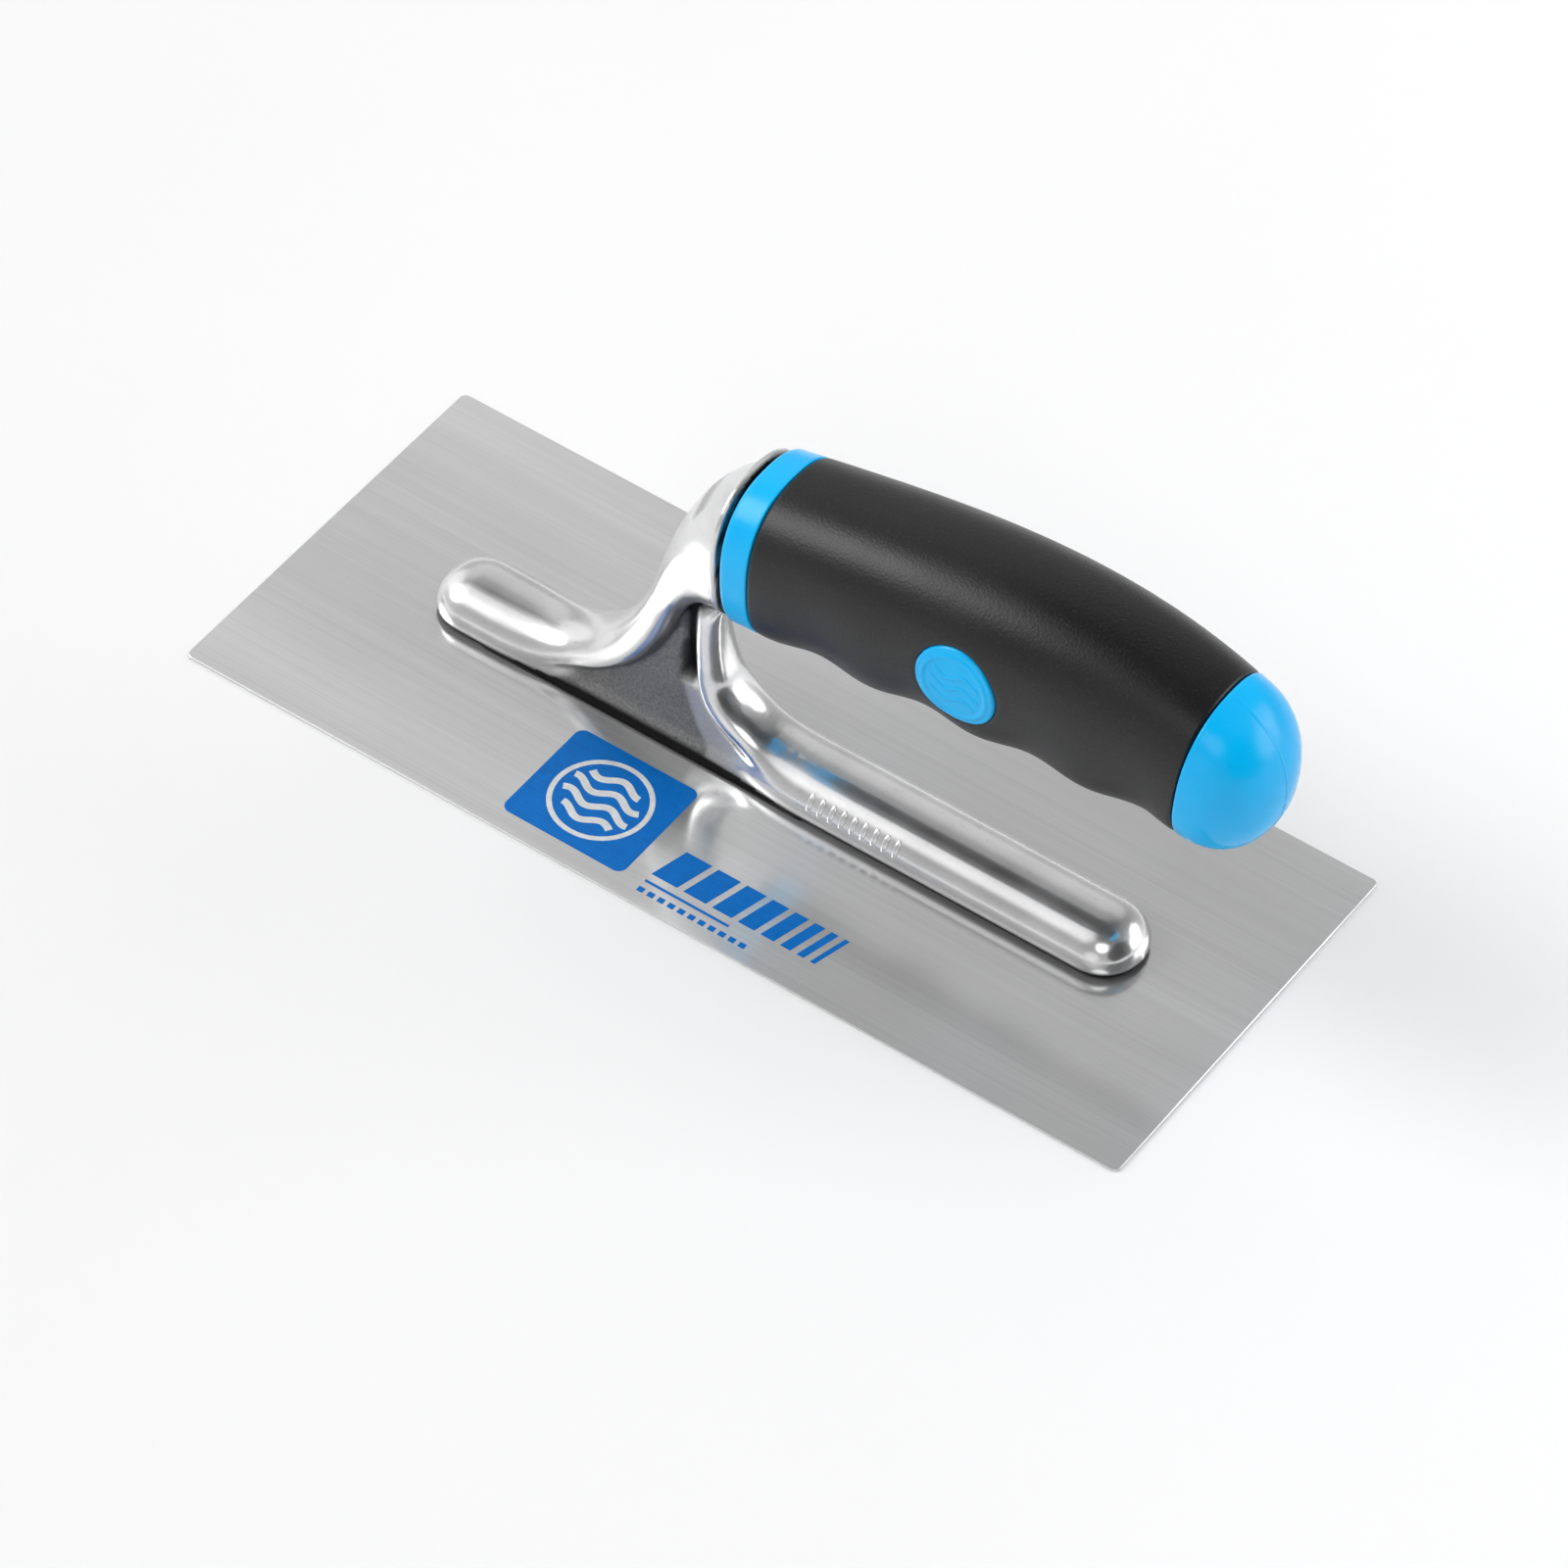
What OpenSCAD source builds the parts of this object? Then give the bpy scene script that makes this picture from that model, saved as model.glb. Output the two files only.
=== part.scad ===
// Steel finishing trowel: a thin spring-steel blade, a cast shank with a long bar and two legs that meet
// in a flange, and a two-part moulded handle held on the shank's tang by a stud and nut.
// X runs along the blade, from the shank's free arm to the handle's end cap. Z is up.
// The origin is the centre of the blade's underside.

/* [Blade] */
// Length of the blade along X
blade_l = 240; // [220:5:280]
// Width of the blade along Y
blade_w = 100; // [80:5:130]
// Thickness of the sheet
blade_t = 0.7; // [0.5:0.1:1]
// Radius of the blade's corners in plan
blade_corner_r = 1.5; // [0.5:0.5:5]

/* [Bar] */
// Where the bar's free arm ends
bar_front_x = -87.5; // [-98:0.5:-84]
// Where the bar's rear end lies, under the handle
bar_rear_x = 93; // [84:1:104]
// Width of the bar where it meets the blade
bar_w = 20.4; // [18:0.2:22]
// Height of the bar above the blade
bar_h = 10.2; // [9.6:0.2:11]

/* [Rivets] */
// Number of rivets along the bar
rivet_count = 8; // [4:1:8]
// Distance between rivets
rivet_pitch = 23; // [16:1:23]
// Diameter of a rivet's shank
rivet_d = 4.8; // [4:0.2:5.4]
// Diameter of its flush head at the blade's underside
rivet_head_d = 7; // [6:0.5:8]
// Depth of a rivet in the bar
rivet_depth = 6; // [4:0.5:7]

/* [Handle] */
// Where the handle's front face crosses its axis
grip_x = -6.3; // [-7:0.1:-5]
// Length of the handle from its front face to the end cap's joint
grip_l = 111.3; // [105:0.5:118]
// Width of the blue ring in front of the grip
ring_w = 7.2; // [5:0.2:9]
// Handle width over handle height
grip_ratio = 0.88; // [0.84:0.01:0.95]
// Thickness of the soft grip over the core
sleeve_t = 3.5; // [3:0.1:4]
// Depth of the finger grooves
groove_depth = 1.9; // [0:0.1:2.2]
// Distance between finger grooves
groove_pitch = 26.65; // [22:0.25:28]
// Length of the domed end cap
cap_l = 17; // [12:0.5:20]
// Diameter of the round badge on each side
badge_d = 19.4; // [14:0.2:20]
// Distance of the badge behind the handle's front face
badge_s = 59.7; // [50:0.1:66]

/* [Tang and fasteners] */
// Diameter of the cast tang in the handle
tang_d = 14; // [12:0.5:15]
// Length of the tang behind the flange
tang_l = 62; // [50:1:64]
// Diameter of the threaded stud
stud_d = 8; // [6:1:8]
// Width of the lock nut across its flats
nut_af = 13; // [12:0.5:13]
// Outer diameter of the washer
washer_d = 17; // [16:0.5:17]

/* [Hidden] */
$fn = 64;

steel = [0.73, 0.74, 0.75];
cast = [0.80, 0.80, 0.81];
zinc = [0.62, 0.63, 0.64];
blue = [0.0, 0.68, 0.95];
black = [0.09, 0.09, 0.10];

overlap = 0.5;
grip_power = 2.4;     // exponent of the handle's rounded-box sections
cast_power = 2.1;     // exponent of the casting's sections
ring_points = 40;     // points round each handle section
cast_points = 24;     // points round each casting section
tip_scale = 0.06;     // size of the small flat that closes a rounded end
dome_power_r = 2.1;   // exponents of the rounded ends, across and along
dome_power_x = 2.3;

// ---- curves ----

// A cubic curve through the first and last of four values or points
function bezier(p, t) =
    p[0] * pow(1 - t, 3) + p[1] * 3 * t * pow(1 - t, 2) + p[2] * 3 * t * t * (1 - t) + p[3] * pow(t, 3);
function signed_power(v, e) = sign(v) * pow(abs(v), e);
// A point of a rounded box of half size 1 and exponent e, as [across, up], at angle a
function oval(a, e) = [signed_power(cos(a), 2 / e), signed_power(sin(a), 2 / e)];
// Unit radius and depth of a dome, at step k of n
function dome_r(k, n) = max(tip_scale, pow(cos(90 * k / n), 2 / dome_power_r));
function dome_x(k, n) = pow(sin(90 * k / n), 2 / dome_power_x);

// ---- a solid through a list of rings that all have the same number of points ----

// closed = true joins the last ring back to the first, as in a tube with a wall
module skin(rings, closed = false) {
    count = len(rings);
    n = len(rings[0]);
    last = closed ? count - 1 : count - 2;
    sides = [
        for (i = [0 : last], j = [0 : n - 1])
            let (a = i * n, b = ((i + 1) % count) * n, k = (j + 1) % n)
            each [[a + j, b + j, b + k], [a + j, b + k, a + k]]
    ];
    ends = closed ? [] : [
        for (j = [1 : n - 2])
            each [[0, j, j + 1], [(count - 1) * n, (count - 1) * n + j + 1, (count - 1) * n + j]]
    ];
    polyhedron(points = [for (ring = rings) each ring], faces = concat(sides, ends), convexity = 6);
}

// ---- the handle's shape ----

// The tang's axis rises by this angle towards the rear
axis_rise = 3.34;
// Heights of the handle's centre line and half heights of its section, along the handle
centre_z = [67.5, 73, 80.4, 74];
half_height = [19.4, 21.6, 23.6, 18.5];
sleeve_x = grip_x + ring_w;
cap_x = grip_x + grip_l;
front_edge = 0.6;     // rounding of the sleeve's and the ring's edges
groove_first_x = grip_x + 22.9;
groove_top = 0.45;    // how far up the side a groove reaches, as the sine of its angle
groove_at_cap = 0.3;  // share of the grooves that is left at the end cap's joint
cap_drop = 3.7;       // how far the end cap's tip lies below its joint's centre

function share(x) = (x - grip_x) / grip_l;
function lean(x) = -axis_rise + 2 * axis_rise * share(x);
function groove(x, a) =
    groove_depth * (0.5 + 0.5 * cos(360 * (x - groove_first_x) / groove_pitch))
    * max(0, (groove_top - sin(a)) / (groove_top + 1));
// One section of the handle, inset below its outer surface, with or without the finger grooves
function grip_ring(x, inset = 0, grooves = 0) =
    let (h = bezier(half_height, share(x)), z = bezier(centre_z, share(x)))
    [
        for (j = [0 : ring_points - 1])
            let (a = 360 * j / ring_points, shrink = 1 - grooves * groove(x, a) / h,
                 across = (grip_ratio * h - inset) * oval(a, grip_power)[0] * shrink,
                 up = (h - inset) * oval(a, grip_power)[1] * shrink)
            [x + sin(lean(x)) * up, across, z + cos(lean(x)) * up]
    ];
// The core's surface under the soft grip, as stations shared by the core, the sleeve and the badges
core_steps = 26;
function core_x(k) = sleeve_x + (cap_x - sleeve_x) * k / core_steps;
core_rings = [for (k = [0 : core_steps]) grip_ring(core_x(k), sleeve_t)];

// Places its children with their Z axis on the tang's axis, s behind the flange
module on_tang(s = 0) {
    translate([grip_x, 0, centre_z[0]])
        rotate([0, 90 - axis_rise, 0])
            translate([0, 0, s]) children();
}

// Where things sit along the tang's axis
tang_end_gap = 1;
core_web_s = tang_l + tang_end_gap;
core_web_t = 12;
pocket_s = core_web_s + core_web_t;
pocket_r = 9.5;
washer_t = 1.6;
nut_t = 6.5;
stud_in_tang = 20;
stud_past_nut = 5;
stud_end_s = pocket_s + washer_t + nut_t + stud_past_nut;
spigot_l = 14;
spigot_wall = 2;
play = 0.1;
// The key on the tang that stops the handle turning
key_w = 5;
key_h = 3;
key_l = 40;

// ---- the shank's shape ----

// Guide curves of the front leg, each a lower and an upper stretch: its outer edge, its inner edge
// and its half width
front_outer = [
    [[-68, 10.8], [-47, 9.5], [-37.5, 21], [-31.5, 42]],
    [[-31.5, 42], [-28, 58], [-21, 79], [-8.5, 85.8]]
];
front_inner = [
    [[-68, 0.5], [-46, 2], [-31, 12], [-23, 32]],
    [[-23, 32], [-19.5, 42], [-14, 48], [-5.3, 49.7]]
];
front_half_w = [[8, 7.6, 6.6, 7.2], [7.2, 7.4, 13.5, 16.3]];
// Guide curves of the rear leg, in the same order
rear_outer = [[-18.5, 41], [-17.5, 24], [-11, 10.9], [12, 10.8]];
rear_inner = [[-26, 40], [-22, 16], [-12, 6], [4, 0.5]];
rear_half_w = [5.5, 6, 7.5, 8];
// Heights of the web between the legs, its limits along X there and its half thickness
web_z = [0, 3, 8, 16, 34];
web_front_x = [-63, -57, -47, -37, -27];
web_rear_x = [6, 2, -5, -12, -19];
web_half_t = [9.8, 8.2, 6, 4.6, 4];
leg_steps = 9;
// The flange that the handle butts against: its thickness, and its half width and half height
flange_t = 2.4;
flange_r = [16.3, 18];

function leg_ring(outer, inner, half_w) =
    let (mid = (outer + inner) / 2, half = (outer - inner) / 2)
    [
        for (j = [0 : cast_points - 1])
            let (p = oval(360 * j / cast_points, cast_power))
            [mid[0] + half[0] * p[1], half_w * p[0], mid[1] + half[1] * p[1]]
    ];
function leg_rings(outer, inner, half_w, first = 0) = [
    for (k = [first : leg_steps])
        let (t = k / leg_steps) leg_ring(bezier(outer, t), bezier(inner, t), bezier(half_w, t))
];
// A section of the bar: an arch on the blade, with its size scaled
function bar_ring(x, size) = [
    for (j = [0 : cast_points])
        let (p = oval(180 * j / cast_points, cast_power))
        [x, bar_w / 2 * p[0] * size, blade_t + bar_h * p[1] * size]
];
// The bar is two stretches, which end inside the legs
bar_gap_x = [-50, -8];
// A stretch of bar from x0 to x1 with a rounded end on each side
module bar(x0, x1) {
    steps = 7;
    r = bar_w / 2;
    front = [for (k = [steps : -1 : 1]) bar_ring(x0 + r - r * dome_x(k, steps), dome_r(k, steps))];
    rear = [for (k = [1 : steps]) bar_ring(x1 - r + r * dome_x(k, steps), dome_r(k, steps))];
    skin(concat(front, [bar_ring(x0 + r, 1), bar_ring(x1 - r, 1)], rear));
}
module web() {
    skin([
        for (k = [0 : len(web_z) - 1])
            let (x0 = web_front_x[k], x1 = web_rear_x[k], y = web_half_t[k], z = blade_t + web_z[k])
            [[x0, y, z], [x0, -y, z], [x1, -y, z], [x1, y, z]]
    ]);
}
module flange() {
    skin([
        for (s = [-flange_t, 0])
            [
                for (j = [0 : cast_points - 1])
                    let (p = oval(360 * j / cast_points, grip_power), up = flange_r[1] * p[1])
                    [grip_x + s * cos(axis_rise) - sin(axis_rise) * up, flange_r[0] * p[0],
                     centre_z[0] + s * sin(axis_rise) + cos(axis_rise) * up]
            ]
    ]);
}
module legs() {
    skin(concat(
        leg_rings(front_outer[0], front_inner[0], front_half_w[0]),
        leg_rings(front_outer[1], front_inner[1], front_half_w[1], 1)
    ));
    skin(leg_rings(rear_outer, rear_inner, rear_half_w));
    web();
}
module tang() {
    on_tang(-overlap) cylinder(d = tang_d, h = tang_l + overlap);
    on_tang(0) translate([-key_w / 2, 0, 0]) cube([key_w, tang_d / 2 + key_h, key_l]);
}

// One child at each rivet's place along the bar
module at_rivets() {
    middle = (bar_front_x + bar_rear_x) / 2;
    for (k = [0 : rivet_count - 1])
        translate([middle + (k - (rivet_count - 1) / 2) * rivet_pitch, 0, 0]) children();
}
// A rivet's whole outline: a flared head flush with the blade's underside and a plain shank
module rivet() {
    cylinder(d1 = rivet_head_d, d2 = rivet_d, h = blade_t);
    translate([0, 0, blade_t]) cylinder(d = rivet_d, h = rivet_depth);
}

// ---- nodes ----

module blade() {
    r = blade_corner_r;
    color(steel) difference() {
        union() {
            for (sx = [-1, 1], sy = [-1, 1])
                translate([sx * (blade_l / 2 - r), sy * (blade_w / 2 - r), 0]) cylinder(r = r, h = blade_t);
            translate([-blade_l / 2 + r, -blade_w / 2, 0]) cube([blade_l - 2 * r, blade_w, blade_t]);
            translate([-blade_l / 2, -blade_w / 2 + r, 0]) cube([blade_l, blade_w - 2 * r, blade_t]);
        }
        at_rivets() rivet();
    }
}

module shank() {
    color(cast) difference() {
        union() {
            bar(bar_front_x, bar_gap_x[0]);
            bar(bar_gap_x[1], bar_rear_x);
            legs();
            flange();
            tang();
        }
        at_rivets() rivet();
        on_tang(tang_l - stud_in_tang) cylinder(d = stud_d, h = stud_in_tang + overlap);
    }
}

module blade_rivets() {
    color(zinc) at_rivets() rivet();
}

module handle_core() {
    color(blue) difference() {
        skin(concat(
            [grip_ring(grip_x, front_edge), grip_ring(grip_x + front_edge), grip_ring(sleeve_x)],
            core_rings
        ));
        on_tang(-overlap) cylinder(d = tang_d + 2 * play, h = core_web_s + overlap);
        on_tang(-overlap) translate([-key_w / 2 - play, 0, 0])
            cube([key_w + 2 * play, tang_d / 2 + key_h + play, key_l + 2 * overlap]);
        on_tang(core_web_s - overlap) cylinder(d = stud_d + 2 * play, h = core_web_t + 2 * overlap);
        on_tang(pocket_s) cylinder(r = pocket_r, h = grip_l);
    }
}

module grip_sleeve() {
    outer = [
        grip_ring(sleeve_x, front_edge),
        grip_ring(sleeve_x + front_edge, 0, 1),
        for (k = [1 : 2 * core_steps - 1]) grip_ring(core_x(k / 2), 0, 1),
        grip_ring(cap_x, 0, groove_at_cap)
    ];
    color(black) difference() {
        skin(concat(outer, [for (k = [core_steps : -1 : 0]) core_rings[k]]), closed = true);
        badge_bore(-1);
        badge_bore(1);
    }
}

// The round hole through the sleeve on one side: side is -1 on the left and 1 on the right
module badge_bore(side) {
    translate([grip_x + badge_s, 0, bezier(centre_z, share(grip_x + badge_s))])
        rotate([side * -90, 0, 0]) cylinder(d = badge_d, h = 2 * half_height[0]);
}
// A round medallion that follows the handle's surface and rests on the core
module badge(side) {
    proud = 0.3;
    middle = round(core_steps * (badge_s - ring_w) / (grip_l - ring_w));
    reach = 3;
    color(blue) intersection() {
        badge_bore(side);
        skin(concat(
            [for (k = [middle - reach : middle + reach]) grip_ring(core_x(k), -proud)],
            [for (k = [middle + reach : -1 : middle - reach]) grip_ring(core_x(k), sleeve_t)]
        ), closed = true);
    }
}
module badge_left() { badge(-1); }
module badge_right() { badge(1); }

module end_cap() {
    steps = 9;
    joint = grip_ring(cap_x);
    centre = [cap_x, 0, centre_z[3]];
    pocket_depth = 6;
    color(blue) difference() {
        union() {
            skin([
                for (k = [0 : steps])
                    [
                        for (p = joint)
                            centre + (p - centre) * (k == 0 ? 1 : dome_r(k, steps))
                                + [cap_l, 0, -cap_drop] * dome_x(k, steps)
                    ]
            ]);
            on_tang(grip_l - spigot_l) cylinder(r = pocket_r, h = spigot_l + overlap);
        }
        on_tang(grip_l - spigot_l - overlap)
            cylinder(r = pocket_r - spigot_wall, h = spigot_l + pocket_depth);
    }
}

module tang_stud() {
    chamfer = 1;
    length = stud_end_s - (tang_l - stud_in_tang);
    color(zinc) on_tang(tang_l - stud_in_tang) {
        cylinder(d = stud_d, h = length - chamfer);
        translate([0, 0, length - chamfer]) cylinder(d1 = stud_d, d2 = stud_d - 2 * chamfer, h = chamfer);
    }
}

module washer() {
    color(zinc) on_tang(pocket_s) difference() {
        cylinder(d = washer_d, h = washer_t);
        translate([0, 0, -overlap]) cylinder(d = stud_d + 2 * play, h = washer_t + 2 * overlap);
    }
}

module lock_nut() {
    color(zinc) on_tang(pocket_s + washer_t) difference() {
        cylinder(d = nut_af / cos(30), h = nut_t, $fn = 6);
        translate([0, 0, -overlap]) cylinder(d = stud_d, h = nut_t + 2 * overlap);
    }
}

blade();
shank();
blade_rivets();
handle_core();
grip_sleeve();
badge_left();
badge_right();
end_cap();
tang_stud();
washer();
lock_nut();
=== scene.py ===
import math

import bmesh
import bpy
import numpy as np
from mathutils import Matrix, Vector


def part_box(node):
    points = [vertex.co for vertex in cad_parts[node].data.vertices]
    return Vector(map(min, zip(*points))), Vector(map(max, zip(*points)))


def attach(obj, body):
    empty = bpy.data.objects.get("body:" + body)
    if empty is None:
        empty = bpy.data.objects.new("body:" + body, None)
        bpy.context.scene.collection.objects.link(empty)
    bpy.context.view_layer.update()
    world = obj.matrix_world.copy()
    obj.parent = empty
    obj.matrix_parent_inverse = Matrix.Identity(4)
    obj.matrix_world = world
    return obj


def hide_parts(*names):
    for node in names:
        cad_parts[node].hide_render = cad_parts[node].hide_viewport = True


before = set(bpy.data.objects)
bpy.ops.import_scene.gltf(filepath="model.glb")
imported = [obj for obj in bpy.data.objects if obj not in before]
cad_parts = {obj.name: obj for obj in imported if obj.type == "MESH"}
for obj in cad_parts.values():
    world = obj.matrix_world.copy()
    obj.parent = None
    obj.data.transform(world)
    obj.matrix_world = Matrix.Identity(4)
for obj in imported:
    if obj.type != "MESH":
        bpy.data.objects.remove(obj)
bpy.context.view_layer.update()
MM = 0.001

# ---- driving dimensions in millimetres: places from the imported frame, sizes as in part.scad ----


def box_mm(node):
    """The node's CAD box as two corners, in millimetres."""
    low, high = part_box(node)
    return np.array(low) / MM, np.array(high) / MM


BLADE_LOW, BLADE_HIGH = box_mm("blade")
SHANK_LOW, SHANK_HIGH = box_mm("shank")
RIVETS_LOW, RIVETS_HIGH = box_mm("blade_rivets")
BADGE_LOW, BADGE_HIGH = box_mm("badge_left")
BLADE_T = BLADE_HIGH[2]
BLADE_CORNER_R = 1.5
BLADE_EDGE = 0.12
BAR_X = (SHANK_LOW[0], SHANK_HIGH[0])

# The handle: a rounded-box section swept along X, with its heights given by cubic curves
AXIS_RISE = math.radians(3.34)
CENTRE_Z = (67.5, 73, 80.4, 74)
HALF_HEIGHT = (19.4, 21.6, 23.6, 18.5)
GRIP_RATIO = 0.88
GRIP_POWER = 2.4
FRONT_EDGE = 0.6
GRIP_X = box_mm("handle_core")[0][0] + math.sin(AXIS_RISE) * (HALF_HEIGHT[0] - FRONT_EDGE)
CAP_X = box_mm("grip_sleeve")[1][0] - math.sin(AXIS_RISE) * HALF_HEIGHT[3]
GRIP_L = CAP_X - GRIP_X
RING_W = 7.2
SLEEVE_X = GRIP_X + RING_W
SLEEVE_T = 3.5
SLEEVE_FIT = 0.05
CAP_INSET = 0.2  # so that the cap's moulding line stays inside the CAD model's box
CAP_L = box_mm("end_cap")[1][0] - CAP_X - CAP_INSET
CAP_DROP = 3.7
CAP_POWERS = (2.1, 2.3)
GROOVE_DEPTH = 1.9
GROOVE_PITCH = 26.65
GROOVE_FIRST = 22.9
GROOVE_TOP = 0.45
GROOVE_AT_CAP = 0.3
GROOVE_FADE_L = 8
JOINT_GAP = 0.12
BADGE_X = (BADGE_LOW[0] + BADGE_HIGH[0]) / 2
BADGE_R = (BADGE_HIGH[0] - BADGE_LOW[0]) / 2

# Inside the handle, along the tang's axis
TANG_R = 7
TANG_L = 62
TANG_ROOT = 2
CORE_WEB = (63, 75)
POCKET_R = 9.5
STUD_R = 4
STUD_SUNK = 20
SPIGOT_L = 14
SPIGOT_WALL = 2
PLAY = 0.1

# The bar: a middle line BAR_MID_H above the blade, and each arm's taper into its leg
CAST_POWER = 2.1
BAR_HALF_W = 10.2
BAR_H = 10.2
BAR_GAP_X = (-42, -14)
BAR_TAPER = 30
BAR_END_POWER = 2.2
BAR_TAPER_POWER = 2.5
BAR_MID_H = 2.2
BAR_UNDER_H = 5

# The legs: chains of cubic curves for the outer and inner edge in the XZ plane, and for the half width.
# A skew is how far the widest line lies towards the inner edge, as a share of the leg's half depth.
FRONT_OUTER = (
    ((-76, 8.2), (-50, 9.0), (-38.5, 18), (-31.5, 42)),
    ((-31.5, 42), (-28, 58), (-21, 79), (-8.5, 85.2)),
)
FRONT_INNER = (
    ((-76, 2.5), (-50, 1), (-31, 10), (-25, 32)),
    ((-25, 32), (-22.3, 41.8), (-14, 48), (-5.3, 50.2)),
)
FRONT_HALF_W = ((5, 9.4, 8.8, 7.4), (7.4, 6.6, 13.0, 15.6))
FRONT_SKEW = 0.4
REAR_SKEW = 0.1
REAR_OUTER = (
    ((-14.9, 50), (-14.9, 47), (-14.9, 43), (-14.9, 40.4)),
    ((-14.9, 40.4), (-14.9, 39), (-14.9, 37.5), (-14.8, 36)),
    ((-14.8, 36), (-14.6, 32), (-14.2, 29), (-13.2, 25)),
    ((-13.2, 25), (-11.6, 18), (-6.5, 9.4), (20, 8.4)),
)
REAR_INNER = (
    ((-21.2, 50), (-21.2, 47), (-21.2, 43), (-21.2, 40.2)),
    ((-21.2, 40.2), (-21.2, 39), (-21.2, 37.5), (-21.1, 35.6)),
    ((-21.1, 35.6), (-20.9, 31), (-20.2, 27), (-19.6, 23)),
    ((-19.6, 23), (-18.6, 16), (-16, 4), (20, 2.5)),
)
REAR_HALF_W = ((1.8, 1.8, 1.8, 1.8), (1.8, 4.1, 4.2, 4.4), (4.4, 4.9, 5.4, 6.0), (6.0, 7.0, 8.6, 5))

# The web between the legs: its front and rear edge and half thickness at each height
WEB_Z = (0, 1.7, 1.9, 5, 9, 16, 24, 29, 44)
WEB_FRONT_X = (-70, -70, -64, -55, -47, -39, -33, -29, -22)
WEB_REAR_X = (12, 12, 8, 3, -3, -12, -17, -19, -17)
WEB_HALF_T = (9.6, 9.9, 8.6, 6.6, 5.4, 4.4, 3.2, 1.2, 1.0)
WEB_LEAN = 0.8  # its edges lean, so the distance to them is about this share of the distance along X
LEG_FILLET = 3
ARM_FILLET = 1
WEB_FILLET = 1.6

# The channel sunk into the web beside the rear leg, darkened with painted shade in it, and the near-black
# painted shade of the slot at its top
CHANNEL_Z = (14, 30)
CHANNEL_X = (-23.4, -25)
CHANNEL_EDGE = 1.6
CHANNEL_START_Z = (16, 19)
CHANNEL_HALF_T = 1.0
CHANNEL_SKIN_X = -20
CHANNEL_SKIN_Y = 4.6
CHANNEL_SKIN_Z = (30, 26)
SLOT_Z = (39.8, 40.2)
SLOT_END_X = (-19.5, -14)
SLOT_HALF_W = (3.6, 6.5)
SLOT_EDGE = 1.4
SLOT_TOP_Z = (45, 43.6)

# The as-cast skin: full in front of the line POLISH_Z, POLISH_X on the web, and partly polished behind it
POLISH_Z = (3.9, 8.1, 11.4, 15.6, 18.9)
POLISH_X = (-13.1, -17.5, -19.5, -21.5, -23.5)
POLISH_EDGE = 0.8
POLISHED_SKIN = 0.55
SKIN_EDGE = (-1.2, 0.1)
# Where the pocket walls between the legs get the dark skin as painted shade of the recess
POCKET_WALL_Y = (7.3, 6.6)
FOOT_H = 1.9
# Height of the near-black painted shade along the bar's foot on the blade
BASE_LINE = 1.8

# The flange against the handle, the rivets and the grid that the casting is meshed on
FLANGE_T = 1.7
FLANGE_GAP = 1.5
FLANGE_R = (16.3, 18)
FLANGE_EDGE = 0.6
SEAT_T = 2
SEAT_INSET = 3.6
RIVET_COUNT = 8
RIVET_R = 2.4
RIVET_HEAD_R = 3.5
RIVET_TOP = RIVETS_HIGH[2]
RIVET_X = np.linspace(RIVETS_LOW[0] + RIVET_HEAD_R, RIVETS_HIGH[0] - RIVET_HEAD_R, RIVET_COUNT)
CAST_PITCH = 0.5


# ---- small helpers ----


def bezier(p, t):
    p = np.asarray(p, float)
    t = np.asarray(t, float)[..., None] if p.ndim > 1 else np.asarray(t, float)
    return p[0] * (1 - t) ** 3 + p[1] * 3 * t * (1 - t) ** 2 + p[2] * 3 * t * t * (1 - t) + p[3] * t**3


def smoothstep(low, high, v):
    t = np.clip((v - low) / (high - low), 0, 1)
    return t * t * (3 - 2 * t)


def add_mesh(name, verts_mm, faces, material, smooth=True):
    """A new mesh object from points in millimetres."""
    mesh = bpy.data.meshes.new(name)
    mesh.from_pydata((np.asarray(verts_mm, float) * MM).tolist(), [], [tuple(map(int, f)) for f in faces])
    mesh.validate()
    made = bpy.data.objects.new(name, mesh)
    bpy.context.scene.collection.objects.link(made)
    mesh.materials.append(material)
    mesh.polygons.foreach_set("use_smooth", [smooth] * len(mesh.polygons))
    fix_normals(made)
    return made


def fix_normals(piece):
    bm = bmesh.new()
    bm.from_mesh(piece.data)
    bmesh.ops.recalc_face_normals(bm, faces=bm.faces)
    bm.to_mesh(piece.data)
    bm.free()


def sharpen(piece, degrees=35):
    """Keeps smooth shading, but breaks it at edges over this angle."""
    piece.data.set_sharp_from_angle(angle=math.radians(degrees))


def grid_faces(rows, columns, wrap_rows=False):
    """Quads between rows of points that close into rings; wrap_rows also joins the last row to the first."""
    faces = []
    for i in range(rows if wrap_rows else rows - 1):
        for j in range(columns):
            a, b = i * columns, ((i + 1) % rows) * columns
            k = (j + 1) % columns
            faces.append((a + j, b + j, b + k, a + k))
    return faces


def loft(name, rings, material, closed=False, sharp=35):
    """A solid through rings of points. closed joins the last ring to the first, else both ends are capped."""
    rings = np.asarray(rings, float)
    rows, columns = rings.shape[:2]
    faces = grid_faces(rows, columns, closed)
    if not closed:
        faces.append(tuple(range(columns)))
        faces.append(tuple((rows - 1) * columns + j for j in range(columns)))
    made = add_mesh(name, rings.reshape(-1, 3), faces, material)
    sharpen(made, sharp)
    return made


def cut(piece, cutter):
    """Takes the cutter's volume out of the piece, and removes the cutter."""
    modifier = piece.modifiers.new("cut", "BOOLEAN")
    modifier.operation = "DIFFERENCE"
    modifier.solver = "MANIFOLD"
    modifier.object = cutter
    apply_modifiers(piece)
    bpy.data.objects.remove(cutter)


def apply_modifiers(piece):
    graph = bpy.context.evaluated_depsgraph_get()
    mesh = bpy.data.meshes.new_from_object(piece.evaluated_get(graph), depsgraph=graph)
    mesh.name = piece.name
    piece.modifiers.clear()
    piece.data = mesh


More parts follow.
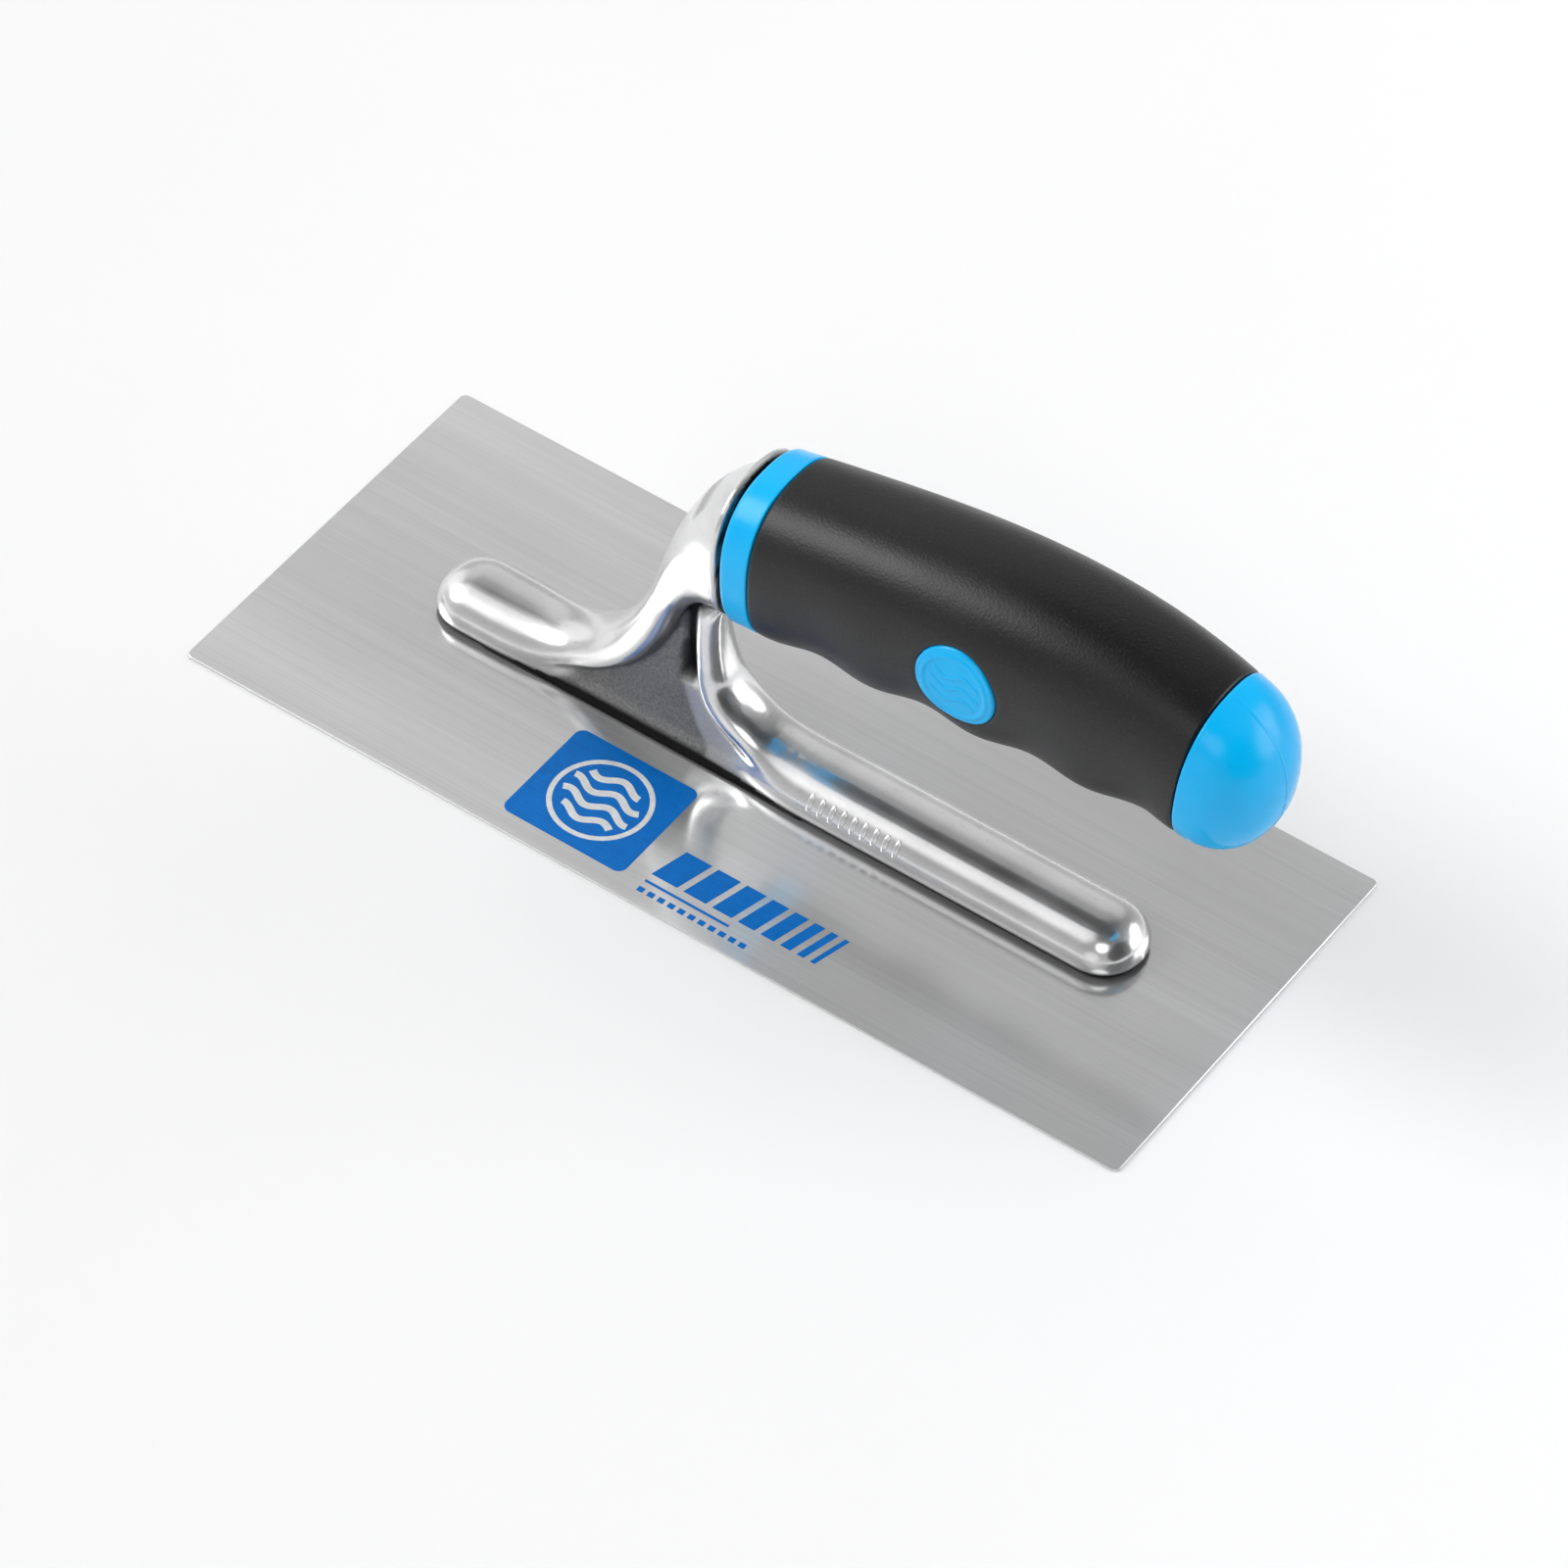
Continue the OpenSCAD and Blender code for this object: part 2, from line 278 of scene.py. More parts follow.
def settle(piece, slot, *nodes):
    """The piece rides on the one body, root, and stands for the CAD nodes, which it hides; slot is not used.
    """
    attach(piece, "root")
    if nodes:
        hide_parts(*nodes)
    return piece


# ---- materials ----


class Nodes:
    """A node tree, with short calls for the nodes used here."""

    def __init__(self, tree):
        self.tree = tree

    def feed(self, socket, value):
        """Links an output to the socket, or sets the socket's own value."""
        if isinstance(value, bpy.types.NodeSocket):
            self.tree.links.new(value, socket)
        else:
            socket.default_value = value

    def add(self, kind, output, **inputs):
        """A new node with these inputs; returns one of its outputs."""
        node = self.tree.nodes.new(kind)
        for name, value in inputs.items():
            self.feed(node.inputs[name.replace("_", " ")], value)
        return node.outputs[output]

    def math(self, kind, a, b=None):
        node = self.tree.nodes.new("ShaderNodeMath")
        node.operation = kind
        for socket, value in zip(node.inputs, (a, b)):
            if value is not None:
                self.feed(socket, value)
        return node.outputs["Value"]

    def weighted(self, *parts):
        """The sum of (value, weight) pairs."""
        total = None
        for value, weight in parts:
            part = self.math("MULTIPLY", value, weight)
            total = self.math("ADD", total, part) if total else part
        return total


class Shader(Nodes):
    """A material with a Principled shader."""

    def __init__(self, name, **fixed):
        self.material = bpy.data.materials.new(name)
        self.material.use_nodes = True
        super().__init__(self.material.node_tree)
        self.bsdf = self.tree.nodes["Principled BSDF"]
        for socket, value in fixed.items():
            self.set(socket.replace("_", " "), value)
        self.place = self.add("ShaderNodeTexCoord", "Object")

    def scaled(self, sx, sy, sz):
        """Object coordinates in metres, stretched by a factor on each axis."""
        return self.add("ShaderNodeMapping", "Vector", Vector=self.place, Scale=(sx, sy, sz))

    def noise(self, vector, scale, detail=3, rough=0.5):
        look = {"Scale": scale, "Detail": detail, "Roughness": rough}
        return self.add("ShaderNodeTexNoise", "Fac", Vector=vector, **look)

    def cells(self, vector, scale):
        return self.add("ShaderNodeTexVoronoi", "Distance", Vector=vector, Scale=scale)

    def ramp(self, value, low, high, to_low=0.0, to_high=1.0):
        ends = {"From_Min": low, "From_Max": high, "To_Min": to_low, "To_Max": to_high}
        return self.add("ShaderNodeMapRange", "Result", Value=value, **ends)

    def mix(self, share, a, b):
        """A colour between a and b."""
        node = self.tree.nodes.new("ShaderNodeMix")
        node.data_type = "RGBA"
        for socket, value in ((node.inputs[0], share), (node.inputs[6], a), (node.inputs[7], b)):
            self.feed(socket, (*value, 1) if isinstance(value, tuple) else value)
        return node.outputs[2]

    def attribute(self, name):
        fac = self.add("ShaderNodeAttribute", "Fac")
        fac.node.attribute_name = name
        return fac

    def bump(self, *layers):
        """Bump layers of (height, distance in millimetres, strength), one on top of the other."""
        normal = {}
        for height, distance, strength in layers:
            size = {"Distance": distance * MM, "Strength": strength}
            made = self.add("ShaderNodeBump", "Normal", Height=height, **size, **normal)
            normal = {"Normal": made}
        self.set("Normal", made)

    def set(self, socket, value):
        self.feed(self.bsdf.inputs[socket], value)

    def add_gloss(self, share, colour, roughness, **brushed):
        """Mixes a sharper metallic reflection over the main one, as on metal ground and then polished."""
        look = {"Base_Color": colour, "Roughness": roughness, "Metallic": 1}
        gloss = self.add("ShaderNodeBsdfPrincipled", "BSDF", **look, **brushed)
        both = self.tree.nodes.new("ShaderNodeMixShader")
        for socket, value in zip(both.inputs, (share, self.bsdf.outputs["BSDF"], gloss)):
            self.feed(socket, value)
        self.feed(self.tree.nodes["Material Output"].inputs["Surface"], both.outputs["Shader"])


def blade_steel():
    """Ground blade: fine streaks along X, longer drag marks, faint waves, a sharper shine by the bar."""
    brushed = {"Anisotropic": 0.85, "Anisotropic_Rotation": 0.25}
    s = Shader("blade_steel", Metallic=0.75, **brushed)
    tangent = s.add("ShaderNodeTangent", "Tangent")
    tangent.node.direction_type = "RADIAL"
    tangent.node.axis = "Y"
    s.set("Tangent", tangent)
    fine = s.noise(s.scaled(14, 3800, 3800), 1.0, 2, 0.6)
    medium = s.noise(s.scaled(5, 700, 700), 1.0, 3, 0.55)
    long = s.noise(s.scaled(2.5, 160, 160), 1.0, 2, 0.5)
    patches = s.noise(s.scaled(16, 30, 30), 1.0, 3, 0.5)
    streaks = s.weighted((fine, 0.45), (medium, 0.35), (long, 0.2))
    tone = s.weighted((streaks, 0.75), (patches, 0.25))
    colour = s.mix(s.ramp(tone, 0.36, 0.64), (0.70, 0.70, 0.70), (0.85, 0.85, 0.85))
    s.set("Base Color", colour)
    s.set("Roughness", s.ramp(streaks, 0.35, 0.65, 0.36, 0.46))
    s.bump((long, 0.05, 0.1), (streaks, 0.012, 0.4))
    shiny_y, dull_y = 24 * MM, 40 * MM
    y = s.add("ShaderNodeSeparateXYZ", "Y", Vector=s.place)
    share = s.ramp(s.math("ABSOLUTE", y), shiny_y, dull_y, 0.62, 0.15)
    s.add_gloss(share, colour, s.ramp(streaks, 0.35, 0.65, 0.08, 0.14), **brushed, Tangent=tangent)
    return s.material


def cast_aluminium():
    """Polished die casting on the bar and legs, a dark as-cast skin on the web that is also painted shade in
    its pockets and channel, and near-black painted shade in its gaps.
    """
    s = Shader("cast_aluminium", Metallic=1.0)
    skin_and_shade = s.attribute("as_cast_and_shade")
    cloud = s.noise(s.place, 90, 3, 0.5)
    pits = s.ramp(s.noise(s.place, 900, 2, 0.6), 0.62, 0.75)
    polish = s.noise(s.scaled(400, 1400, 1400), 1.0, 2, 0.6)
    skin = s.noise(s.place, 1500, 4, 0.65)
    bright = s.mix(s.ramp(cloud, 0.3, 0.7), (0.74, 0.74, 0.745), (0.84, 0.84, 0.845))
    bright = s.mix(s.math("MULTIPLY", pits, 0.3), bright, (0.4, 0.4, 0.405))
    # Dark as-cast skin colour; in the web's pockets and channel it is also painted shade of those recesses.
    dull_and_shade = s.mix(s.ramp(skin, 0.3, 0.7), (0.17, 0.17, 0.17), (0.30, 0.30, 0.295))
    # Painted shade: near-black in the gap behind the flange, along the bar's foot and in the web's slot.
    dull_and_shade = s.mix(s.attribute("painted_shade"), dull_and_shade, (0.012, 0.012, 0.012))
    colour = s.mix(skin_and_shade, bright, dull_and_shade)
    s.set("Base Color", colour)
    shine = s.math("ADD", s.ramp(cloud, 0.3, 0.7, 0.34, 0.4), s.math("MULTIPLY", polish, 0.08))
    s.set("Roughness", s.math("MAXIMUM", shine, s.math("MULTIPLY", skin_and_shade, 0.55)))
    sharp = s.math("ADD", s.ramp(cloud, 0.3, 0.7, 0.08, 0.12), s.math("MULTIPLY", polish, 0.08))
    s.add_gloss(s.ramp(skin_and_shade, 0, 0.5, 0.66, 0), colour, sharp)
    rough_bump = s.math("MULTIPLY", skin, skin_and_shade)
    s.bump((cloud, 0.2, 0.06), (polish, 0.01, 0.25), (rough_bump, 0.3, 0.6))
    return s.material


def blue_plastic():
    """Moulded gloss polypropylene with a faint orange-peel skin."""
    s = Shader("blue_plastic", IOR=1.49, Specular_IOR_Level=0.32, Coat_Weight=0.08, Coat_Roughness=0.12)
    peel = s.noise(s.place, 700, 2, 0.5)
    cloud = s.noise(s.place, 60, 3, 0.5)
    speck = s.ramp(s.noise(s.place, 2600, 2, 0.5), 0.35, 0.65)
    colour = s.mix(s.ramp(cloud, 0.3, 0.7), (0.0, 0.45, 0.92), (0.0, 0.52, 1.0))
    s.set("Base Color", s.mix(s.math("MULTIPLY", speck, 0.08), colour, (0.0, 0.3, 0.7)))
    s.set("Roughness", s.ramp(cloud, 0.3, 0.7, 0.2, 0.28))
    s.bump((peel, 0.02, 0.15))
    return s.material


def black_grip():
    """Soft-touch elastomer with a spark-eroded texture and slight polish where a hand rubs it."""
    sheen = {"Sheen_Weight": 0.02, "Sheen_Roughness": 0.4, "Sheen_Tint": (0.8, 0.8, 0.82, 1)}
    s = Shader("black_grip", Specular_IOR_Level=0.5, **sheen)
    grain = s.cells(s.place, 1500)
    fine = s.noise(s.place, 3200, 3, 0.6)
    rub = s.noise(s.place, 45, 3, 0.5)
    dust = s.ramp(s.noise(s.place, 1700, 2, 0.5), 0.58, 0.72)
    colour = s.mix(s.ramp(rub, 0.3, 0.7), (0.003, 0.003, 0.003), (0.006, 0.006, 0.006))
    s.set("Base Color", s.mix(s.math("MULTIPLY", dust, 0.2), colour, (0.05, 0.05, 0.05)))
    s.set("Roughness", s.ramp(rub, 0.3, 0.7, 0.35, 0.43))
    s.bump((grain, 0.1, 0.3), (fine, 0.04, 0.2))
    return s.material


def zinc_steel(name="zinc_steel", scale=1.0):
    """Zinc-plated fasteners in the handle, and with a coarser spangle the rivets' heads."""
    s = Shader(name, Metallic=1.0)
    spangle = s.cells(s.place, 700 * scale)
    scratch = s.noise(s.scaled(300, 2500, 2500), 1.0, 2, 0.5)
    s.set("Base Color", s.mix(s.ramp(spangle, 0.1, 0.7), (0.60, 0.61, 0.63), (0.74, 0.75, 0.76)))
    s.set("Roughness", s.ramp(scratch, 0.35, 0.65, 0.22, 0.4))
    s.bump((scratch, 0.02, 0.3))
    return s.material


def print_ink(name, dark, light):
    """Screen-printed ink, a little uneven."""
    s = Shader(name, Specular_IOR_Level=0.25)
    mottle = s.noise(s.place, 500, 4, 0.6)
    streak = s.noise(s.scaled(20, 1800, 1800), 1.0, 2, 0.5)
    share = s.weighted((mottle, 0.6), (streak, 0.4))
    s.set("Base Color", s.mix(s.ramp(share, 0.35, 0.65), dark, light))
    s.set("Roughness", s.ramp(share, 0.35, 0.65, 0.3, 0.42))
    s.bump((streak, 0.01, 0.2))
    return s.material


STEEL = blade_steel()
CAST = cast_aluminium()
BLUE = blue_plastic()
GRIP = black_grip()
ZINC = zinc_steel()
RIVET = zinc_steel("rivet_steel", 0.6)
INK = print_ink("print_blue", (0.0, 0.135, 0.48), (0.0, 0.165, 0.58))
INK_LIGHT = print_ink("print_light", (0.62, 0.64, 0.64), (0.78, 0.79, 0.78))


# ---- the handle's section ----


def section_angles(count, fine=4001):
    """Angles that space the handle's section evenly along its outline, from the middle of the far side."""
    a = np.linspace(0, 2 * math.pi, fine)
    p = section_points(a) * (GRIP_RATIO, 1)
    run = np.concatenate([[0], np.cumsum(np.hypot(*np.diff(p, axis=0).T))])
    return np.interp(np.linspace(0, run[-1], count, endpoint=False), run, a)


def section_points(a):
    """Points of the handle's section at these angles, one unit from its middle to each side."""
    c, s = np.cos(a), np.sin(a)
    return np.stack([np.sign(c) * abs(c) ** (2 / GRIP_POWER), np.sign(s) * abs(s) ** (2 / GRIP_POWER)], -1)


AROUND = 240
ANGLES = section_angles(AROUND)


def share_of(x):
    """How far x is along the grip, from 0 at its front to 1 at the end cap's joint."""
    return (x - GRIP_X) / GRIP_L


def groove(x, a):
    """Depth of the finger grooves at x and at an angle round the section."""
    wave = 0.5 + 0.5 * math.cos(2 * math.pi * (x - GRIP_X - GROOVE_FIRST) / GROOVE_PITCH)
    return GROOVE_DEPTH * wave * np.maximum(0, (GROOVE_TOP - np.sin(a)) / (GROOVE_TOP + 1))


def grip_ring(x, inset=0.0, grooves=0.0):
    """The handle's outline at x, inset below its surface, with this share of the finger grooves."""
    t = share_of(x)
    h, z = float(bezier(HALF_HEIGHT, t)), float(bezier(CENTRE_Z, t))
    lean = -AXIS_RISE + 2 * AXIS_RISE * t
    unit = section_points(ANGLES)
    shrink = 1 - grooves * groove(x, ANGLES) / h
    across = (GRIP_RATIO * h - inset) * unit[:, 0] * shrink
    up = (h - inset) * unit[:, 1] * shrink
    return np.stack([x + math.sin(lean) * up, across, z + math.cos(lean) * up], -1)


def tang_ring(s, radius):
    """A circle round the tang's axis, s along it from the handle's front, its points facing the section's."""
    unit = section_points(ANGLES) * (GRIP_RATIO, 1)
    unit = unit / np.linalg.norm(unit, axis=1)[:, None] * radius
    x = GRIP_X + s * math.cos(AXIS_RISE) - math.sin(AXIS_RISE) * unit[:, 1]
    z = CENTRE_Z[0] + s * math.sin(AXIS_RISE) + math.cos(AXIS_RISE) * unit[:, 1]
    return np.stack([x, unit[:, 0], z], -1)


def rounded_start(x, radius, deepest, grooves=0.0, side=1):
    """Rings of a face and its rounded edge: side 1 at the front of a piece, -1 at its rear."""
    steps = 6
    rings = [grip_ring(x, deepest, grooves)]
    for k in range(steps + 1):
        turn = math.pi / 2 * k / steps
        back, inset = radius * (1 - math.cos(turn)), radius * (1 - math.sin(turn))
        rings.append(grip_ring(x + side * back, inset, grooves))
    return rings if side == 1 else rings[::-1]


def handle_core():
    """The blue core: its front ring shows, and the rest carries the grip and holds the tang and nut."""
    edge, rear_edge, face_depth = 1.1, 0.35, 3.0
    ring_rows, tube_rows = 9, 60
    seat_depth = SLEEVE_T + SLEEVE_FIT
    ring_end = SLEEVE_X - JOINT_GAP
    rings = [tang_ring(0, TANG_R + PLAY)]
    rings += rounded_start(GRIP_X, edge, face_depth)
    rings += [grip_ring(x) for x in np.linspace(GRIP_X + edge, ring_end - rear_edge, ring_rows)[1:-1]]
    rings += rounded_start(ring_end, rear_edge, seat_depth, side=-1)
    rings += [grip_ring(x, seat_depth) for x in np.linspace(SLEEVE_X, CAP_X - JOINT_GAP, tube_rows)[1:]]
    rear = (GRIP_L - JOINT_GAP) / math.cos(AXIS_RISE)
    bore = (
        (rear, POCKET_R),
        (CORE_WEB[1], POCKET_R),
        (CORE_WEB[1], STUD_R + PLAY),
        (CORE_WEB[0], STUD_R + PLAY),
        (CORE_WEB[0], TANG_R + PLAY),
    )
    rings += [tang_ring(s, r) for s, r in bore]
    return settle(loft("handle_core_body", rings, BLUE, closed=True), "blue_plastic", "handle_core")


def badge_height(x, z, side):
    """Y of the handle's surface at x and z on one side, side being -1 or 1."""
    top = 0.98
    t = share_of(x)
    h, centre = bezier(HALF_HEIGHT, t), bezier(CENTRE_Z, t)
    up = np.clip(abs(z - centre) / h, 0, top)
    return side * GRIP_RATIO * h * (1 - up**GRIP_POWER) ** (1 / GRIP_POWER)


BADGE_Z = float(bezier(CENTRE_Z, share_of(BADGE_X)))


def grip_sleeve():
    """The soft grip, with finger grooves below and a round hole on each side for the badge."""
    edge, outer_rows, inner_rows = 0.7, 190, 60
    start, end = SLEEVE_X + JOINT_GAP, CAP_X - JOINT_GAP
    rings = rounded_start(start, edge, SLEEVE_T, 1.0)
    for x in np.linspace(start + edge, end - edge, outer_rows)[1:-1]:
        rings.append(grip_ring(x, 0, 1 - (1 - GROOVE_AT_CAP) * smoothstep(CAP_X - GROOVE_FADE_L, CAP_X, x)))
    rings += rounded_start(end, edge, SLEEVE_T, GROOVE_AT_CAP, side=-1)
    rings += [grip_ring(x, SLEEVE_T) for x in np.linspace(end, start, inner_rows)[1:-1]]
    sleeve = loft("soft_grip", with_badge_lips(np.array(rings)), GRIP, closed=True, sharp=50)
    for side in (-1, 1):
        cut(sleeve, disc_cutter(side))
    sharpen(sleeve, 50)
    return settle(sleeve, "black_grip", "grip_sleeve")


def with_badge_lips(rings):
    """The sleeve's rings with its outer surface rolled in round each badge."""
    lip, lip_depth = 1.3, 0.45
    reach = np.hypot(rings[..., 0] - BADGE_X, rings[..., 2] - BADGE_Z)
    roll = np.clip(1 - (reach - BADGE_R) / lip, 0, 1) ** 2 * lip_depth
    outer = abs(rings[..., 1]) > abs(badge_height(rings[..., 0], rings[..., 2], 1)) - SLEEVE_T / 2
    rings[..., 1] -= np.sign(rings[..., 1]) * roll * outer
    return rings


def disc_cutter(side, count=128):
    """A short cylinder across the sleeve's wall on one side, a little wider than the badge."""
    radius, near, far = BADGE_R + 0.18, 4, 30
    a = np.linspace(0, 2 * math.pi, count, endpoint=False)
    x, z = BADGE_X + radius * np.cos(a), BADGE_Z + radius * np.sin(a)
    rings = [np.stack([x, np.full(count, side * y), z], -1) for y in (near, far)]
    return loft("cutter", rings, GRIP)


def badge(name, side, node):
    """A slightly domed medallion with a rim and a plain raised pattern."""
    rows, columns = 44, 168
    a = np.linspace(0, 2 * math.pi, columns, endpoint=False)
    edge, lift, depth = 0.5, 0.05, SLEEVE_T - 0.1
    top = []
    for r in np.linspace(BADGE_R, 0, rows)[:-1]:
        u, v = r * np.cos(a), r * np.sin(a)
        x, z = BADGE_X + u, BADGE_Z + v
        proud = lift + emblem_height(u, v) - edge * np.clip((r - BADGE_R + edge) / edge, 0, 1) ** 2
        top.append(np.stack([x, badge_height(x, z, side) + side * proud, z], -1))
    bottom = top[0].copy()
    bottom[:, 1] = badge_height(bottom[:, 0], bottom[:, 2], side) - side * depth
    piece = loft(name, [bottom, *top], BLUE, sharp=60)
    return settle(piece, "blue_plastic", node)


def emblem_height(u, v):
    """Height of the raised pattern at u, v from the middle: a rim line and three waves inside it."""
    half, slope, proud = 0.35, 0.3, 0.22
    rim_r, waves_r = BADGE_R * 0.8, (BADGE_R * 0.62, BADGE_R * 0.66)
    pitch, swing, pace = 3.1, 0.9, 0.75
    r = np.hypot(u, v)
    inside = 1 - smoothstep(*waves_r, r)
    height = 1 - smoothstep(half, half + slope, abs(r - rim_r))
    for k in (-1, 0, 1):
        off = abs(v - pitch * k - swing * np.sin(u * pace))
        height = np.maximum(height, (1 - smoothstep(half, half + slope, off)) * inside)
    return proud * height


def cap_spigot(plug_l=6, plug_r=0.5):
    """Rings of the end cap's hollow spigot, from inside its closed end to the pocket it fills."""
    joint = GRIP_L / math.cos(AXIS_RISE)
    inner_r = POCKET_R - SPIGOT_WALL
    places = (
        (joint + plug_l, plug_r),
        (joint + plug_l, inner_r),
        (joint - SPIGOT_L, inner_r),
        (joint - SPIGOT_L, POCKET_R),
        (joint, POCKET_R),
    )
    return [tang_ring(s, r) for s, r in places]


def end_cap():
    """The domed end cap, with a fine moulding line over its middle and a spigot inside."""
    steps, edge_steps, edge, face_share = 60, 4, 0.5, 0.15
    joint = grip_ring(CAP_X)
    centre = np.array([CAP_X, 0, CENTRE_Z[3]])
    rings = cap_spigot()
    rings.append(joint + (centre - joint) * face_share + (JOINT_GAP, 0, 0))
    for k in range(edge_steps + 1):
        turn = math.pi / 2 * k / edge_steps
        inset = edge * (1 - math.sin(turn)) / HALF_HEIGHT[3]
        rings.append(joint + (centre - joint) * inset + (JOINT_GAP + edge * (1 - math.cos(turn)), 0, 0))
    edge_share = (JOINT_GAP + edge) / CAP_L
    for k in range(1, steps):
        turn = math.pi / 2 * k / steps
        reach = math.sin(turn) ** (2 / CAP_POWERS[1])
        if reach < edge_share * 1.3:
            continue
        ring = centre + (joint - centre) * math.cos(turn) ** (2 / CAP_POWERS[0])
        rings.append(ring + np.array([CAP_L, 0, -CAP_DROP]) * reach)
    rings = with_moulding_line(np.array(rings), centre, first=8)
    return settle(loft("end_cap_dome", rings, BLUE, sharp=45), "blue_plastic", "end_cap")


def with_moulding_line(rings, centre, first):
    """The cap's rings, raised along the middle plane from the ring numbered first on."""
    half_w, proud = 0.2, 0.12
    outward = rings - centre
    length = np.linalg.norm(outward, axis=-1, keepdims=True)
    line = abs(rings[..., 1]) < half_w
    line[:first] = False
    return rings + outward / np.maximum(length, 1) * proud * line[..., None]


# ---- the shank, as a signed-distance field turned into a mesh ----


def section_distance(a, b, half_a, half_b, power=CAST_POWER, skew=0.0):
    """About the distance to a rounded section with these half sizes, negative inside.

    skew moves its widest line towards negative a, by a share of half_a.
    """
    a = a + 1e-4 + skew * half_a
    half_a = half_a * np.where(a > 0, 1 + skew, 1 - skew)
    r = (abs(a / half_a) ** power + abs(b / half_b) ** power) ** (1 / power)
    return np.hypot(a, b) * (1 - 1 / np.maximum(r, 1e-6))


def blend(a, b, k):
    """Smooth union of two fields, with a fillet of about k."""
    h = np.maximum(k - abs(a - b), 0) / k
    return np.minimum(a, b) - h * h * k / 4


def bar_field(x, y, z, end_x, gap_x):
    """One arm of the bar: a round end at end_x, and a long taper to gap_x inside the leg."""
    way = 1 if gap_x > end_x else -1
    past_end = np.maximum((end_x + way * BAR_HALF_W - x) * way, 0) / BAR_HALF_W
    past_gap = np.maximum((x - gap_x + way * BAR_TAPER) * way, 0) / BAR_TAPER
    up = z - BLADE_T - BAR_MID_H
    half_h = np.where(up > 0, BAR_H - BAR_MID_H, BAR_UNDER_H)
    along = past_end**BAR_END_POWER + past_gap**BAR_TAPER_POWER
    n = (along + abs(y / BAR_HALF_W) ** CAST_POWER + abs(up / half_h) ** CAST_POWER) ** (1 / CAST_POWER)
    reach = np.sqrt((past_end * BAR_HALF_W) ** 2 + y**2 + up**2) + 1e-4
    return reach * (1 - 1 / np.maximum(n, 1e-5))


def leg_coordinates(x, z, outer, inner, half_w, count=220):
    """In the XZ plane: distance across the leg, its half sizes there, and distance past its ends."""
    t = np.linspace(0, 1, count)
    out = np.concatenate([bezier(p, t) for p in outer])
    into = np.concatenate([bezier(p, t) for p in inner])
    wide = np.concatenate([bezier(p, t) for p in half_w])
    mid, half = (out + into) / 2, (out - into) / 2
    size = np.hypot(*half.T)
    unit = half / size[:, None]
    ahead = np.stack([unit[:, 1], -unit[:, 0]], -1)
    forward = np.gradient(mid, axis=0)
    ahead *= np.sign((ahead * forward).sum(1))[:, None]
    dx, dz = x[..., None] - mid[:, 0], z[..., None] - mid[:, 1]
    along = dx * ahead[:, 0] + dz * ahead[:, 1]
    across = dx * unit[:, 0] + dz * unit[:, 1]
    far = np.hypot(along, np.maximum(abs(across) - size, 0))
    i = far.argmin(-1)
    here = np.take_along_axis(along, i[..., None], -1)[..., 0]
    i0 = np.clip(np.where(here >= 0, i, i - 1), 0, len(size) - 2)
    f0 = np.take_along_axis(along, i0[..., None], -1)[..., 0]
    f1 = np.take_along_axis(along, i0[..., None] + 1, -1)[..., 0]
    part = np.clip(f0 / np.where(abs(f0 - f1) < 1e-6, 1e-6, f0 - f1), 0, 1)

    def at(values):
        return values[i0] * (1 - part) + values[i0 + 1] * part

    past = np.maximum(-along[..., 0], along[..., -1])
    across = (x - at(mid[:, 0])) * at(unit[:, 0]) + (z - at(mid[:, 1])) * at(unit[:, 1])
    return across, at(size), at(wide), past


def leg_field(x, y, z, outer, inner, half_w, skew):
    """x and z are the plane's grids, y is a row across them."""
    across, size, wide, past = leg_coordinates(x, z, outer, inner, half_w)
    d = section_distance(across[:, None, :], y[None, :, None], size[:, None, :], wide[:, None, :], skew=skew)
    return np.maximum(d, past[:, None, :])


def web_channel(x, z):
    """Share of the channel sunk into the web beside the rear leg."""
    side = np.interp(z, CHANNEL_Z, CHANNEL_X)
    return smoothstep(side, side + CHANNEL_EDGE, x) * smoothstep(*CHANNEL_START_Z, z)


def web_ends(z):
    """X of the web's front and rear edge at each height."""
    return np.interp(z, WEB_Z, WEB_FRONT_X), np.interp(z, WEB_Z, WEB_REAR_X)


def web_field(x, y, z):
    """The plate between the legs, thinner towards its top and in the channel."""
    channel = web_channel(x, z)
    thick = np.interp(z, WEB_Z, WEB_HALF_T) * (1 - channel) + CHANNEL_HALF_T * channel
    front, rear = web_ends(z)
    return np.maximum(abs(y) - thick, np.maximum(np.maximum(front - x, x - rear) * WEB_LEAN, z - WEB_Z[-1]))


def flange_field(x, y, z):
    """The rim that shows in front of the handle and the smaller seat inside it."""
    s, u = tang_coordinates(x, z)

    def disc(middle, half, shrink):
        radial = section_distance(y, u, FLANGE_R[0] - shrink, FLANGE_R[1] - shrink, GRIP_POWER)
        a, b = radial + FLANGE_EDGE, abs(s - middle) - half + FLANGE_EDGE
        return np.minimum(np.maximum(a, b), 0) + np.hypot(np.maximum(a, 0), np.maximum(b, 0)) - FLANGE_EDGE

    rim = disc(-FLANGE_GAP - FLANGE_T / 2, FLANGE_T / 2, 0)
    seat = disc(-SEAT_T / 2, SEAT_T / 2, SEAT_INSET)
    return np.minimum(rim, seat)


def tang_coordinates(x, z):
    """Distance along the tang's axis from the handle's front, and distance above the axis."""
    s = (x - GRIP_X) * math.cos(AXIS_RISE) + (z - CENTRE_Z[0]) * math.sin(AXIS_RISE)
    u = -(x - GRIP_X) * math.sin(AXIS_RISE) + (z - CENTRE_Z[0]) * math.cos(AXIS_RISE)
    return s, u


def tang_field(x, y, z):
    """The round tang, and the hole for the stud in its end."""
    s, u = tang_coordinates(x, z)
    radial = np.hypot(y, u)
    solid = np.maximum(radial - TANG_R, abs(s - (TANG_L - TANG_ROOT) / 2) - (TANG_L + TANG_ROOT) / 2)
    bore = np.maximum(radial - STUD_R, TANG_L - STUD_SUNK - s)
    return solid, bore


